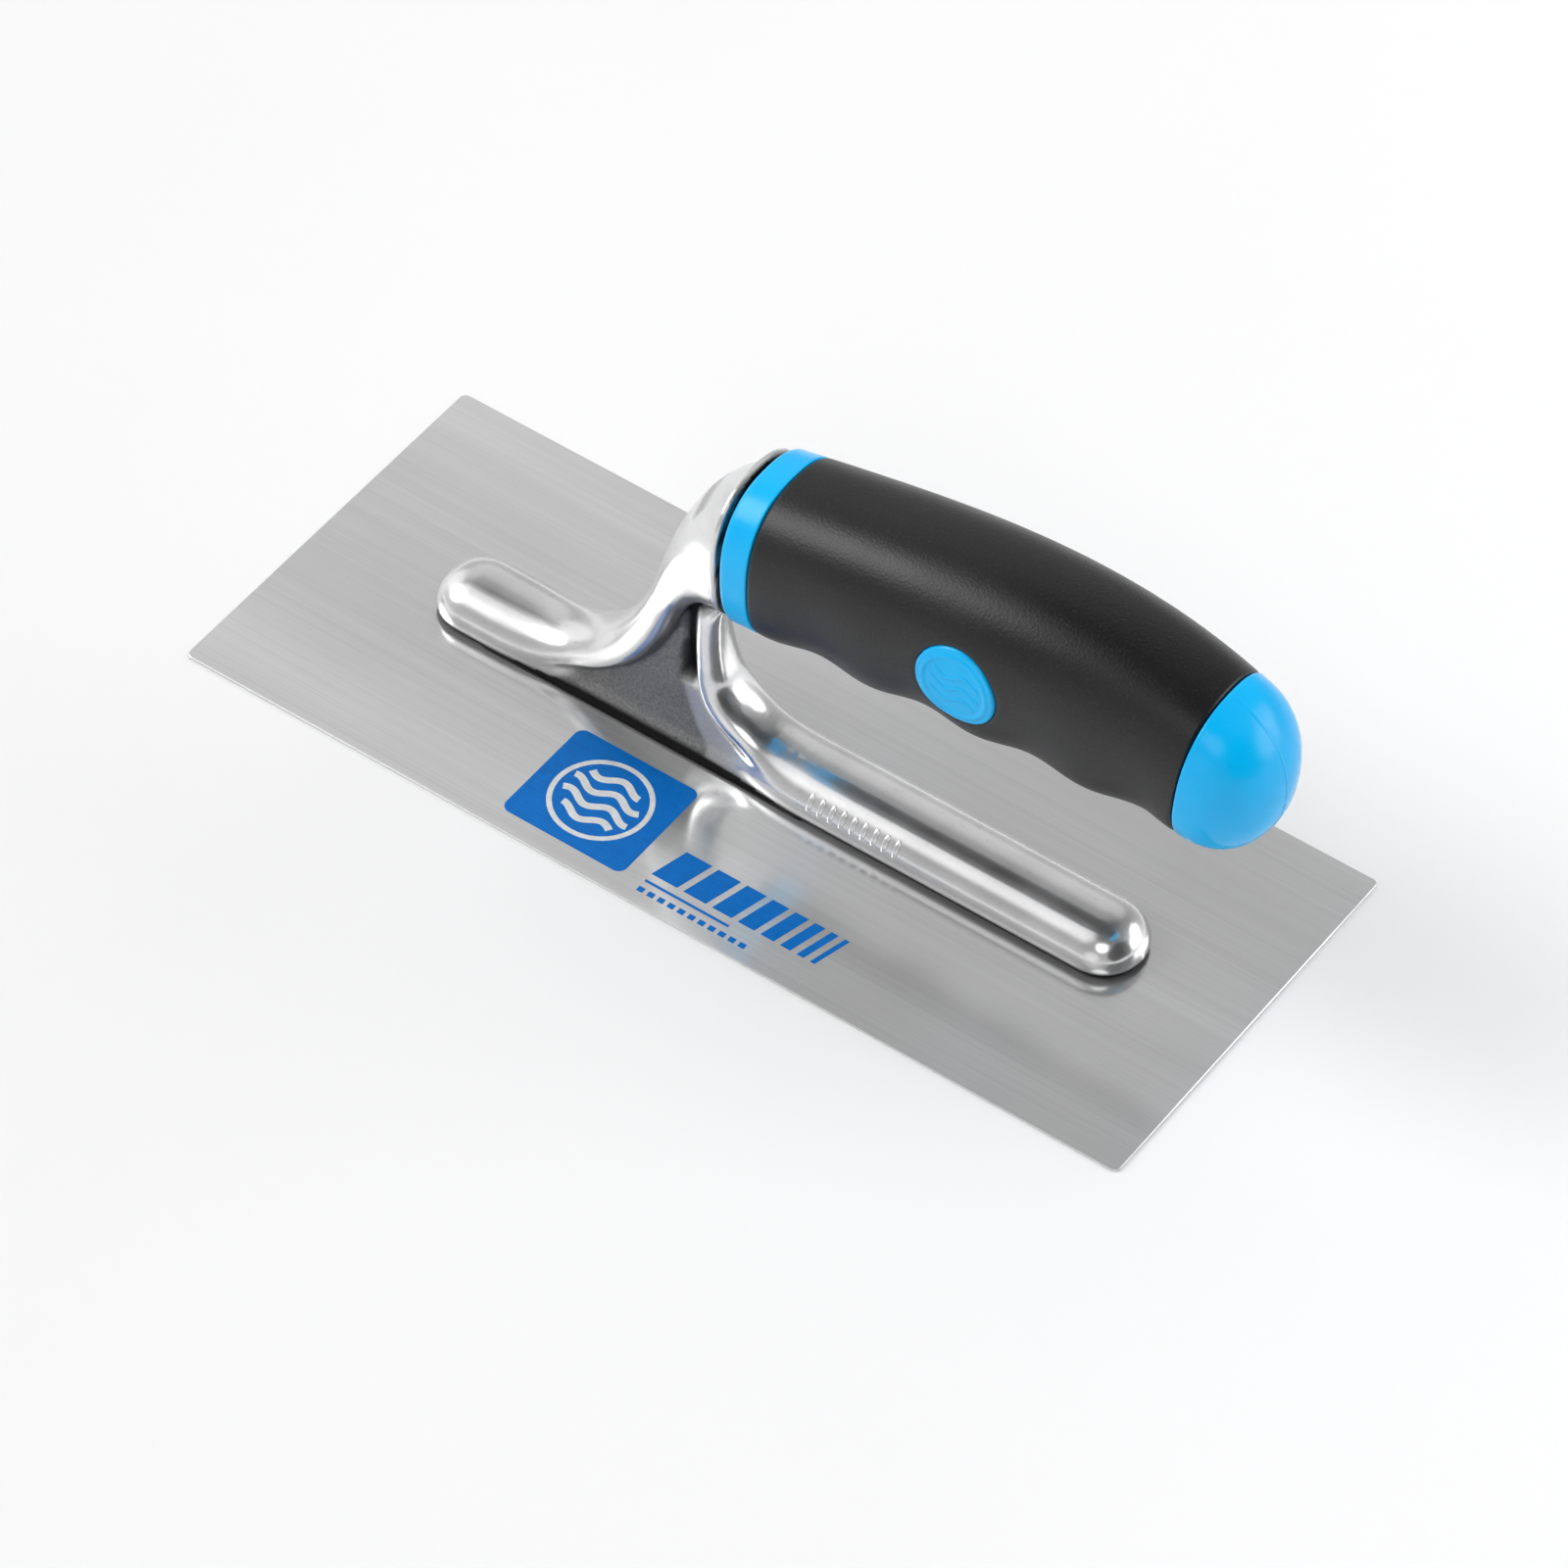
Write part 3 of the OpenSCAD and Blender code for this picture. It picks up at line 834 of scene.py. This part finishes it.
def skin_and_shade_share(x, y, z, polished, web):
    """How much of each place gets the dark as-cast skin: the web's pockets and the channel, above the foot,
    where it is also painted shade of those recesses.
    """
    front, rear = web_ends(z)
    between = smoothstep(1, 3, x - front) * smoothstep(4, 1, x - (front + rear) / 2)
    # Painted shade: the pocket walls between the legs get the dark skin, standing for the shade in that
    # recess.
    wall = smoothstep(*POCKET_WALL_Y, abs(y)) * between
    skin = np.maximum(smoothstep(*SKIN_EDGE, polished - web), wall) * (z > FOOT_H)
    polish_x = np.interp(z, POLISH_Z, POLISH_X)
    unpolished = smoothstep(polish_x + POLISH_EDGE, polish_x - POLISH_EDGE, x)
    skin = skin * (POLISHED_SKIN + (1 - POLISHED_SKIN) * unpolished)
    # Painted shade: the channel's lower part gets the dark skin too, darkening that recess.
    channel = smoothstep(0, 0.2, web_channel(x, z)) * (x < CHANNEL_SKIN_X) * (abs(y) < CHANNEL_SKIN_Y)
    return np.maximum(skin, channel * smoothstep(*CHANNEL_SKIN_Z, z))


def painted_gap_shade(x, y, z):
    """Share of near-black painted shade at each place: in the gap behind the flange, along the bar's foot and
    in the web's slot.
    """
    gap_front, gap_rear = (-FLANGE_GAP - 0.35, -FLANGE_GAP + 0.1), (0.3, -0.4)
    base_edge = (BASE_LINE + 0.5, BASE_LINE - 0.1)
    s, _ = tang_coordinates(x, z)
    gap = smoothstep(*gap_front, s) * smoothstep(*gap_rear, s) * (z > BAR_H * 3)
    base = smoothstep(*base_edge, z - BLADE_T)
    half_w = np.interp(z, SLOT_Z, SLOT_HALF_W)
    slot = smoothstep(half_w, half_w - SLOT_EDGE, abs(y)) * web_channel(x, z)
    slot = slot * (x < np.interp(z, SLOT_Z, SLOT_END_X)) * smoothstep(*SLOT_TOP_Z, z)
    return np.maximum(np.maximum(gap, base), slot)


def shank_fields(x, y, z):
    """On the grid: the whole casting's field, the share of dark as-cast skin with its painted shade, and the
    share of near-black painted shade.
    """
    gx, gz = np.meshgrid(x, z, indexing="ij")
    px, py, pz = x[:, None, None], y[None, :, None], z[None, None, :]
    front = leg_field(gx, y, gz, FRONT_OUTER, FRONT_INNER, FRONT_HALF_W, FRONT_SKEW)
    rear = leg_field(gx, y, gz, REAR_OUTER, REAR_INNER, REAR_HALF_W, REAR_SKEW)
    web = web_field(px, py, pz)
    left = bar_field(px, py, pz, BAR_X[0], BAR_GAP_X[0])
    right = bar_field(px, py, pz, BAR_X[1], BAR_GAP_X[1])
    polished = blend(blend(left, front, LEG_FILLET), blend(right, rear, LEG_FILLET), ARM_FILLET)
    body = blend(blend(polished, web, WEB_FILLET), flange_field(px, py, pz), WEB_FILLET)
    tang, bore = tang_field(px, py, pz)
    body = np.maximum(np.minimum(body, tang), -bore)
    for rivet_x in RIVET_X:
        shaft = np.maximum(np.hypot(px - rivet_x, py) - RIVET_R, pz - RIVET_TOP)
        body = np.maximum(body, -shaft)
    painted_shade = painted_gap_shade(px, py, pz)
    skin_and_shade = np.maximum(skin_and_shade_share(px, py, pz, polished, web), painted_shade)
    return np.maximum(body, BLADE_T - pz), skin_and_shade, painted_shade


CELL_CORNERS = [(i, j, k) for i in (0, 1) for j in (0, 1) for k in (0, 1)]


def surface_net(field, low, pitch):
    """Quads on the zero level of a field sampled on a grid, one vertex for each cell that it crosses."""
    inside = field < 0
    cells = tuple(n - 1 for n in field.shape)
    filled = np.zeros(cells, np.int8)
    for i, j, k in CELL_CORNERS:
        filled += inside[i:i + cells[0], j:j + cells[1], k:k + cells[2]]
    place = np.argwhere((filled > 0) & (filled < len(CELL_CORNERS)))
    index = np.full(cells, -1, np.int64)
    index[tuple(place.T)] = np.arange(len(place))
    quads = [net_quads(inside, index, axis) for axis in range(3)]
    return low + pitch * net_points(field, place), np.concatenate(quads)


def net_points(field, place):
    """In each cell, the mean of the points where the field crosses zero on the cell's edges."""
    total, hits = np.zeros((len(place), 3)), np.zeros(len(place))
    for c in CELL_CORNERS:
        for axis in range(3):
            if c[axis]:
                continue
            a, b = place + c, place + c
            b[:, axis] += 1
            fa, fb = field[tuple(a.T)], field[tuple(b.T)]
            crossing = (fa < 0) != (fb < 0)
            step = np.where(crossing, fa / np.where(crossing, fa - fb, 1), 0)
            point = np.tile(np.array(c, float), (len(place), 1))
            point[:, axis] += step
            total += point * crossing[:, None]
            hits += crossing
    return place + total / hits[:, None]


def net_quads(inside, index, axis):
    """A quad round each of the grid's edges along this axis that crosses the surface, facing outwards."""
    cells = index.shape
    e, f = [k for k in range(3) if k != axis]
    here = np.take(inside, range(cells[axis]), axis)
    ahead = np.take(inside, range(1, cells[axis] + 1), axis)
    edge = np.argwhere(here != ahead)
    edge = edge[(edge[:, e] > 0) & (edge[:, f] > 0) & (edge[:, e] < cells[e]) & (edge[:, f] < cells[f])]
    around = []
    for de, df in ((1, 1), (0, 1), (0, 0), (1, 0)):
        c = edge.copy()
        c[:, e] -= de
        c[:, f] -= df
        around.append(index[tuple(c.T)])
    quad = np.stack(around, -1)
    starts_inside = inside[tuple(edge.T)]
    keep = starts_inside if axis != 1 else ~starts_inside
    quad[~keep] = quad[~keep][:, ::-1]
    return quad


def sample(values, low, pitch, points):
    """Values between grid points, by straight interpolation."""
    p = (points - low) / pitch
    base = np.clip(np.floor(p).astype(int), 0, np.array(values.shape) - 2)
    part = p - base
    result = 0
    for corner in CELL_CORNERS:
        i, j, k = corner
        weight = abs(1 - i - part[:, 0]) * abs(1 - j - part[:, 1]) * abs(1 - k - part[:, 2])
        result = result + weight * values[tuple((base + corner).T)]
    return result


def settle_on_surface(field, low, pitch, verts, rounds=3, longest=0.3):
    """Moves the vertices along the field's slope onto its zero level."""
    slope = np.gradient(field, pitch)
    for _ in range(rounds):
        d = sample(field, low, pitch, verts)
        g = np.stack([sample(s, low, pitch, verts) for s in slope], -1)
        length = np.maximum((g * g).sum(1), 0.2)
        verts -= np.clip(d / length, -longest, longest)[:, None] * g


def shank():
    """The casting: bar, legs, web, flange and tang in one piece, with fillets where they meet."""
    pitch = CAST_PITCH
    low, high = SHANK_LOW - 1.5 * pitch, SHANK_HIGH + 2 * pitch
    low[1], high[1] = -FLANGE_R[0] - 2 * pitch, FLANGE_R[0] + 2 * pitch
    x, y, z = (np.arange(a, b + pitch, pitch) for a, b in zip(low, high))
    field, skin_and_shade, painted_shade = shank_fields(x, y, z)
    verts, quads = surface_net(field, low, pitch)
    settle_on_surface(field, low, pitch, verts)
    verts[:, 2] = np.maximum(verts[:, 2], BLADE_T)
    piece = add_mesh("cast_shank", verts, quads, CAST)
    # Point attributes for the material: the dark as-cast skin with its painted shade, and the near-black
    # painted shade.
    for name, share in (("as_cast_and_shade", skin_and_shade), ("painted_shade", painted_shade)):
        values = piece.data.attributes.new(name, "FLOAT", "POINT")
        values.data.foreach_set("value", np.clip(sample(share, low, pitch, verts), 0, 1).astype(np.float32))
    sharpen(piece, 55)
    return settle(piece, "cast_aluminium", "shank")


def bar_point(x, turn, lift):
    """A point on the near side of the bar, at an angle up its section and this far proud of it."""
    y = (BAR_HALF_W + lift) * math.cos(turn) ** (2 / CAST_POWER)
    z = (BAR_H - BAR_MID_H + lift) * math.sin(turn) ** (2 / CAST_POWER)
    return (x, -y, BLADE_T + BAR_MID_H + z)


def rib_points(x, steps, across):
    """Rows of points of one raised rib, going up the bar's side; each row ends with one inside the bar."""
    half_w, proud, sunk, root = 0.8, 0.3, 0.12, -0.6
    lowest, sweep = 12, 32
    points = []
    for k in range(steps):
        t = k / (steps - 1)
        turn = math.radians(lowest + sweep * t)
        lift = proud * math.sin(math.pi * t) ** 0.35
        wide = half_w * math.sin(math.pi * min(max(t, 0.02), 0.98)) ** 0.3
        for u in np.linspace(-1, 1, across):
            points.append(bar_point(x + u * wide, turn, lift * (1 - u**4) - sunk))
        points.append(bar_point(x, turn, root))
    return points


def cast_marks():
    """Plain raised ribs on the near side of the bar, one solid each."""
    count, first, last = 9, 14.5, 36.5
    steps, across = 15, 9
    ring = across + 1
    verts, faces = [], []
    for x in np.linspace(first, last, count):
        base = len(verts)
        verts += rib_points(x, steps, across)
        faces += [tuple(base + n for n in f) for f in grid_faces(steps, ring)]
        faces += [tuple(base + end + j for j in range(ring)) for end in (0, ring * (steps - 1))]
    piece = add_mesh("cast_marks", verts, faces, CAST)
    return settle(piece, "cast_aluminium")


# ---- blade and print ----


def rounded_outline(x0, x1, y0, y1, radius, corner_steps=8):
    """A rectangle's outline with round corners, as points in order."""
    points = []
    for cx, cy, start in ((x1 - radius, y1 - radius, 0), (x0 + radius, y1 - radius, 90),
                          (x0 + radius, y0 + radius, 180), (x1 - radius, y0 + radius, 270)):
        for k in range(corner_steps + 1):
            a = math.radians(start + 90 * k / corner_steps)
            points.append((cx + radius * math.cos(a), cy + radius * math.sin(a)))
    return points


def slab(name, outline, z0, z1, material, chamfer):
    """A flat solid over an outline, with its edges chamfered."""
    middle = np.mean(outline, axis=0)
    rings = []
    for z, inset in ((z0, chamfer), (z0 + chamfer, 0), (z1 - chamfer, 0), (z1, chamfer)):
        points = np.array(outline, float)
        size = np.abs(points - middle).max(0)
        points = middle + (points - middle) * (1 - inset / size)
        rings.append(np.column_stack([points, np.full(len(points), z)]))
    return loft(name, rings, material, sharp=20)


def turned(name, profile, count, material, x):
    """A solid turned round an upright axis at x, from a profile of (radius, z)."""
    a = np.linspace(0, 2 * math.pi, count, endpoint=False)
    rings = [np.stack([x + r * np.cos(a), r * np.sin(a), np.full(count, z)], -1) for r, z in profile]
    return loft(name, rings, material)


def blade():
    """The blade with eased edges and a countersunk hole for each rivet."""
    outline = rounded_outline(BLADE_LOW[0], BLADE_HIGH[0], BLADE_LOW[1], BLADE_HIGH[1], BLADE_CORNER_R)
    sheet = slab("steel_blade", outline, 0, BLADE_T, STEEL, BLADE_EDGE)
    hole_r, slope, past = RIVET_R + 0.05, 0.06, 0.3
    profile = ((RIVET_HEAD_R + past, -0.2), (RIVET_HEAD_R + slope, slope), (hole_r, BLADE_T), (hole_r, 1))
    for x in RIVET_X:
        cut(sheet, turned("cutter", profile, 48, STEEL, x))
    sharpen(sheet, 20)
    return settle(sheet, "blade_steel", "blade")


INK_T = 0.03
PANEL_X = (-40, -8.5)
PANEL_Y = (-45, -16)
PANEL_CORNER_R = 2.2
RING_R = (10.4, 11.6)
WAVES_R = 9.2
WAVE_PITCH = 4.0
BLOCKS_X = -3.5
BLOCKS_Y = (-41, -31.5)
BLOCK_WIDTHS = (6.6, 5.8, 5.0, 4.2, 3.4, 2.6, 1.8, 1.2)
BLOCK_GAP = 1.6
BLOCK_SLANT = 2.4
RULE_X_END = 18
RULE_Y = (-43.6, -42.9)
DASH_COUNT = 11
DASH_PITCH = 2.6
DASH_L = 1.6
DASH_Y = (-46.6, -45.2)


def join_flat(name, outlines, z0, z1, material):
    """Several flat solids in one piece, given as outlines."""
    verts, faces = [], []
    for outline in outlines:
        n, base = len(outline), len(verts)
        verts += [(x, y, z0) for x, y in outline] + [(x, y, z1) for x, y in outline]
        faces += [(base + j, base + (j + 1) % n, base + n + (j + 1) % n, base + n + j) for j in range(n)]
        faces += [tuple(base + j for j in range(n)), tuple(base + n + j for j in range(n))]
    return add_mesh(name, verts, faces, material, smooth=False)


def ribbon(points, half):
    """Outline of a band of even width along a line of points."""
    p = np.array(points, float)
    d = np.gradient(p, axis=0)
    d /= np.hypot(*d.T)[:, None]
    side = np.stack([-d[:, 1], d[:, 0]], -1) * half
    return [tuple(q) for q in np.concatenate([p + side, (p - side)[::-1]])]


def rectangle(x0, x1, y0, y1, slant=0):
    """A rectangle's outline, its far side moved along X by the slant."""
    return [(x0, y0), (x1, y0), (x1 + slant, y1), (x0 + slant, y1)]


def emblem_shapes():
    """Outlines of a plain ring, as short straight pieces, and of four waves inside it."""
    cx, cy = sum(PANEL_X) / 2, sum(PANEL_Y) / 2
    pieces, points, swing, pace, half = 48, 48, 1.1, 0.62, 0.85
    shapes = []
    for k in range(pieces):
        a0, a1 = 2 * math.pi * k / pieces, 2 * math.pi * (k + 1) / pieces
        inner, outer = RING_R
        ends = ((inner, a0), (outer, a0), (outer, a1), (inner, a1))
        shapes.append([(cx + r * math.cos(a), cy + r * math.sin(a)) for r, a in ends])
    for k in (-1.5, -0.5, 0.5, 1.5):
        reach = math.sqrt(WAVES_R**2 - (abs(k) * WAVE_PITCH + 0.6) ** 2)
        u = np.linspace(-reach, reach, points)
        wave = np.stack([cx + u, cy + WAVE_PITCH * k + swing * np.sin(u * pace + 0.6 * k)], -1)
        shapes.append(ribbon(wave, half))
    return shapes


def block_shapes():
    """Outlines of a row of slanted blocks that get narrower, with a rule and a row of dashes below."""
    shapes = []
    x = BLOCKS_X
    for width in BLOCK_WIDTHS:
        shapes.append(rectangle(x, x + width, *BLOCKS_Y, BLOCK_SLANT))
        x += width + BLOCK_GAP
    shapes.append(rectangle(BLOCKS_X, RULE_X_END, *RULE_Y))
    for k in range(DASH_COUNT):
        dash_x = BLOCKS_X + DASH_PITCH * k
        shapes.append(rectangle(dash_x, dash_x + DASH_L, *DASH_Y))
    return shapes


def printed_emblem():
    """A blue panel with a plain ring and waves, then the row of blocks, the rule and the dashes."""
    panel = [rounded_outline(*PANEL_X, *PANEL_Y, PANEL_CORNER_R)]
    top = BLADE_T + INK_T
    prints = (
        join_flat("print_panel", panel, BLADE_T, top, INK),
        join_flat("print_waves", emblem_shapes(), top, BLADE_T + 2 * INK_T, INK_LIGHT),
        join_flat("print_blocks", block_shapes(), BLADE_T, top, INK),
    )
    for piece in prints:
        settle(piece, "blade_steel")


# ---- carried-over fasteners ----


def dress_fasteners():
    """The rivets, stud, washer and nut keep their CAD shapes and get a material here."""
    coats = {"blade_rivets": RIVET, "tang_stud": ZINC, "washer": ZINC, "lock_nut": ZINC}
    for node, material in coats.items():
        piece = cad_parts[node]
        piece.data.materials.clear()
        piece.data.materials.append(material)


# ---- floor, light and camera ----

# Solved from the blade's four corners; distances in metres, lens in millimetres
CAMERA_AZIMUTH = 32.65
CAMERA_ELEVATION = 47.33
CAMERA_ROLL = 3.4
CAMERA_DISTANCE = 1.82555
CAMERA_SLIDE = (0.00141, -0.00314)
CAMERA_LENS = 197.21


def direction(azimuth, elevation):
    """A unit vector; azimuth is in degrees from -Y towards +X, elevation in degrees above the floor."""
    a, e = math.radians(azimuth), math.radians(elevation)
    return Vector((math.sin(a) * math.cos(e), -math.cos(a) * math.cos(e), math.sin(e)))


def camera():
    back = direction(CAMERA_AZIMUTH, CAMERA_ELEVATION)
    roll = math.radians(CAMERA_ROLL)
    right = Vector((0, 0, 1)).cross(back).normalized()
    up = back.cross(right)
    across = right * math.cos(roll) + up * math.sin(roll)
    upright = up * math.cos(roll) - right * math.sin(roll)
    data = bpy.data.cameras.new("camera")
    data.sensor_width = 36
    data.lens = CAMERA_LENS
    data.clip_start, data.clip_end = 0.05, 20
    made = bpy.data.objects.new("camera", data)
    turn = Matrix((across, upright, back)).transposed().to_4x4()
    spot = back * CAMERA_DISTANCE + across * CAMERA_SLIDE[0] + upright * CAMERA_SLIDE[1]
    made.matrix_world = Matrix.Translation(spot) @ turn
    bpy.context.scene.collection.objects.link(made)
    bpy.context.scene.camera = made


def floor():
    reach, drop = 3.0, 0.00002
    corners = [(u * reach, v * reach, -drop) for u, v in ((-1, -1), (1, -1), (1, 1), (-1, 1))]
    mesh = bpy.data.meshes.new("floor")
    mesh.from_pydata(corners, [], [(0, 1, 2, 3)])
    made = bpy.data.objects.new("floor", mesh)
    s = Shader("floor", Specular_IOR_Level=0.2)
    mottle = s.noise(s.place, 6, 2, 0.5)
    s.set("Base Color", s.mix(mottle, (0.90, 0.90, 0.905), (0.93, 0.93, 0.935)))
    s.set("Roughness", s.ramp(mottle, 0, 1, 0.7, 0.8))
    mesh.materials.append(s.material)
    bpy.context.scene.collection.objects.link(made)


# The surround's level at the height of a direction, from 0 at the horizon and below it to 1 straight up
SURROUND = ((0.0, 0.66), (0.2, 0.5), (0.5, 0.34), (0.75, 0.24), (1.0, 0.14))
# Soft patches of light in it, and dark ones: azimuth, elevation, full and outer radius in degrees, and level
SOFT_LIGHTS = (
    (-64, 38, 9, 22, 4.6),
    (-55, 57, 14, 31, 0.7),
    (8, 12, 10, 20, 0.45),
    (30, 47, 10, 18, 1.8),
    (-101, 22, 12, 26, 0.6),
    (210, 42, 14, 32, 0.4),
    (141, 27, 8, 15, 2.4),
    (124, 15, 10, 19, 2.6),
)
DARK_CARDS = (
    (78, 22, 26, 34, 0.97),
    (-150, 70, 16, 26, 0.4),
    (60, 78, 14, 26, 0.6),
)


def patch(sky, view, azimuth, elevation, full, outer, level):
    """level within the full radius of that direction, fading to 0 at the outer one."""
    dot = sky.tree.nodes.new("ShaderNodeVectorMath")
    dot.operation = "DOT_PRODUCT"
    sky.feed(dot.inputs[0], view)
    sky.feed(dot.inputs[1], direction(azimuth, elevation))
    start, end = math.cos(math.radians(outer)), math.cos(math.radians(full))
    ends = {"From_Min": start, "From_Max": end, "To_Max": level}
    fade = sky.add("ShaderNodeMapRange", "Result", Value=dot.outputs["Value"], **ends)
    fade.node.interpolation_type = "SMOOTHSTEP"
    return fade


def surround_level(sky, view):
    """The level that rises towards the horizon, as a colour ramp over the direction's height."""
    height = sky.add("ShaderNodeSeparateXYZ", "Z", Vector=view)
    level = sky.add("ShaderNodeValToRGB", "Color", Fac=height)
    elements = level.node.color_ramp.elements
    while len(elements) < len(SURROUND):
        elements.new(0.5)
    for element, (position, grey) in zip(elements, SURROUND):
        element.position = position
        element.color = (grey, grey, grey, 1)
    return level


def studio():
    """A pale studio: a surround with soft lights and dark cards, and an overhead light."""
    world = bpy.data.worlds.new("studio")
    world.use_nodes = True
    bpy.context.scene.world = world
    sky = Nodes(world.node_tree)
    view = sky.add("ShaderNodeTexCoord", "Generated")
    level = surround_level(sky, view)
    for light in SOFT_LIGHTS:
        level = sky.math("ADD", level, patch(sky, view, *light))
    for card in DARK_CARDS:
        level = sky.math("MULTIPLY", level, sky.math("SUBTRACT", 1.0, patch(sky, view, *card)))
    background = sky.tree.nodes["Background"]
    sky.feed(background.inputs["Color"], level)
    background.inputs["Strength"].default_value = 1.0
    overhead()


def overhead():
    """A wide light above, for the floor and the plastics: it does not show in reflections."""
    place = Vector((0.5, 0.45, 1.5))
    data = bpy.data.lights.new("overhead", "AREA")
    data.shape = "DISK"
    data.size = 1.6
    data.energy = 10
    made = bpy.data.objects.new("overhead", data)
    made.location = place
    made.rotation_mode = "QUATERNION"
    made.rotation_quaternion = place.to_track_quat("Z", "Y")
    made.visible_glossy = False
    bpy.context.scene.collection.objects.link(made)


bpy.context.scene.view_settings.view_transform = "Standard"
camera()
floor()
studio()
blade()
shank()
cast_marks()
handle_core()
grip_sleeve()
badge("badge_near", -1, "badge_left")
badge("badge_far", 1, "badge_right")
end_cap()
printed_emblem()
dress_fasteners()
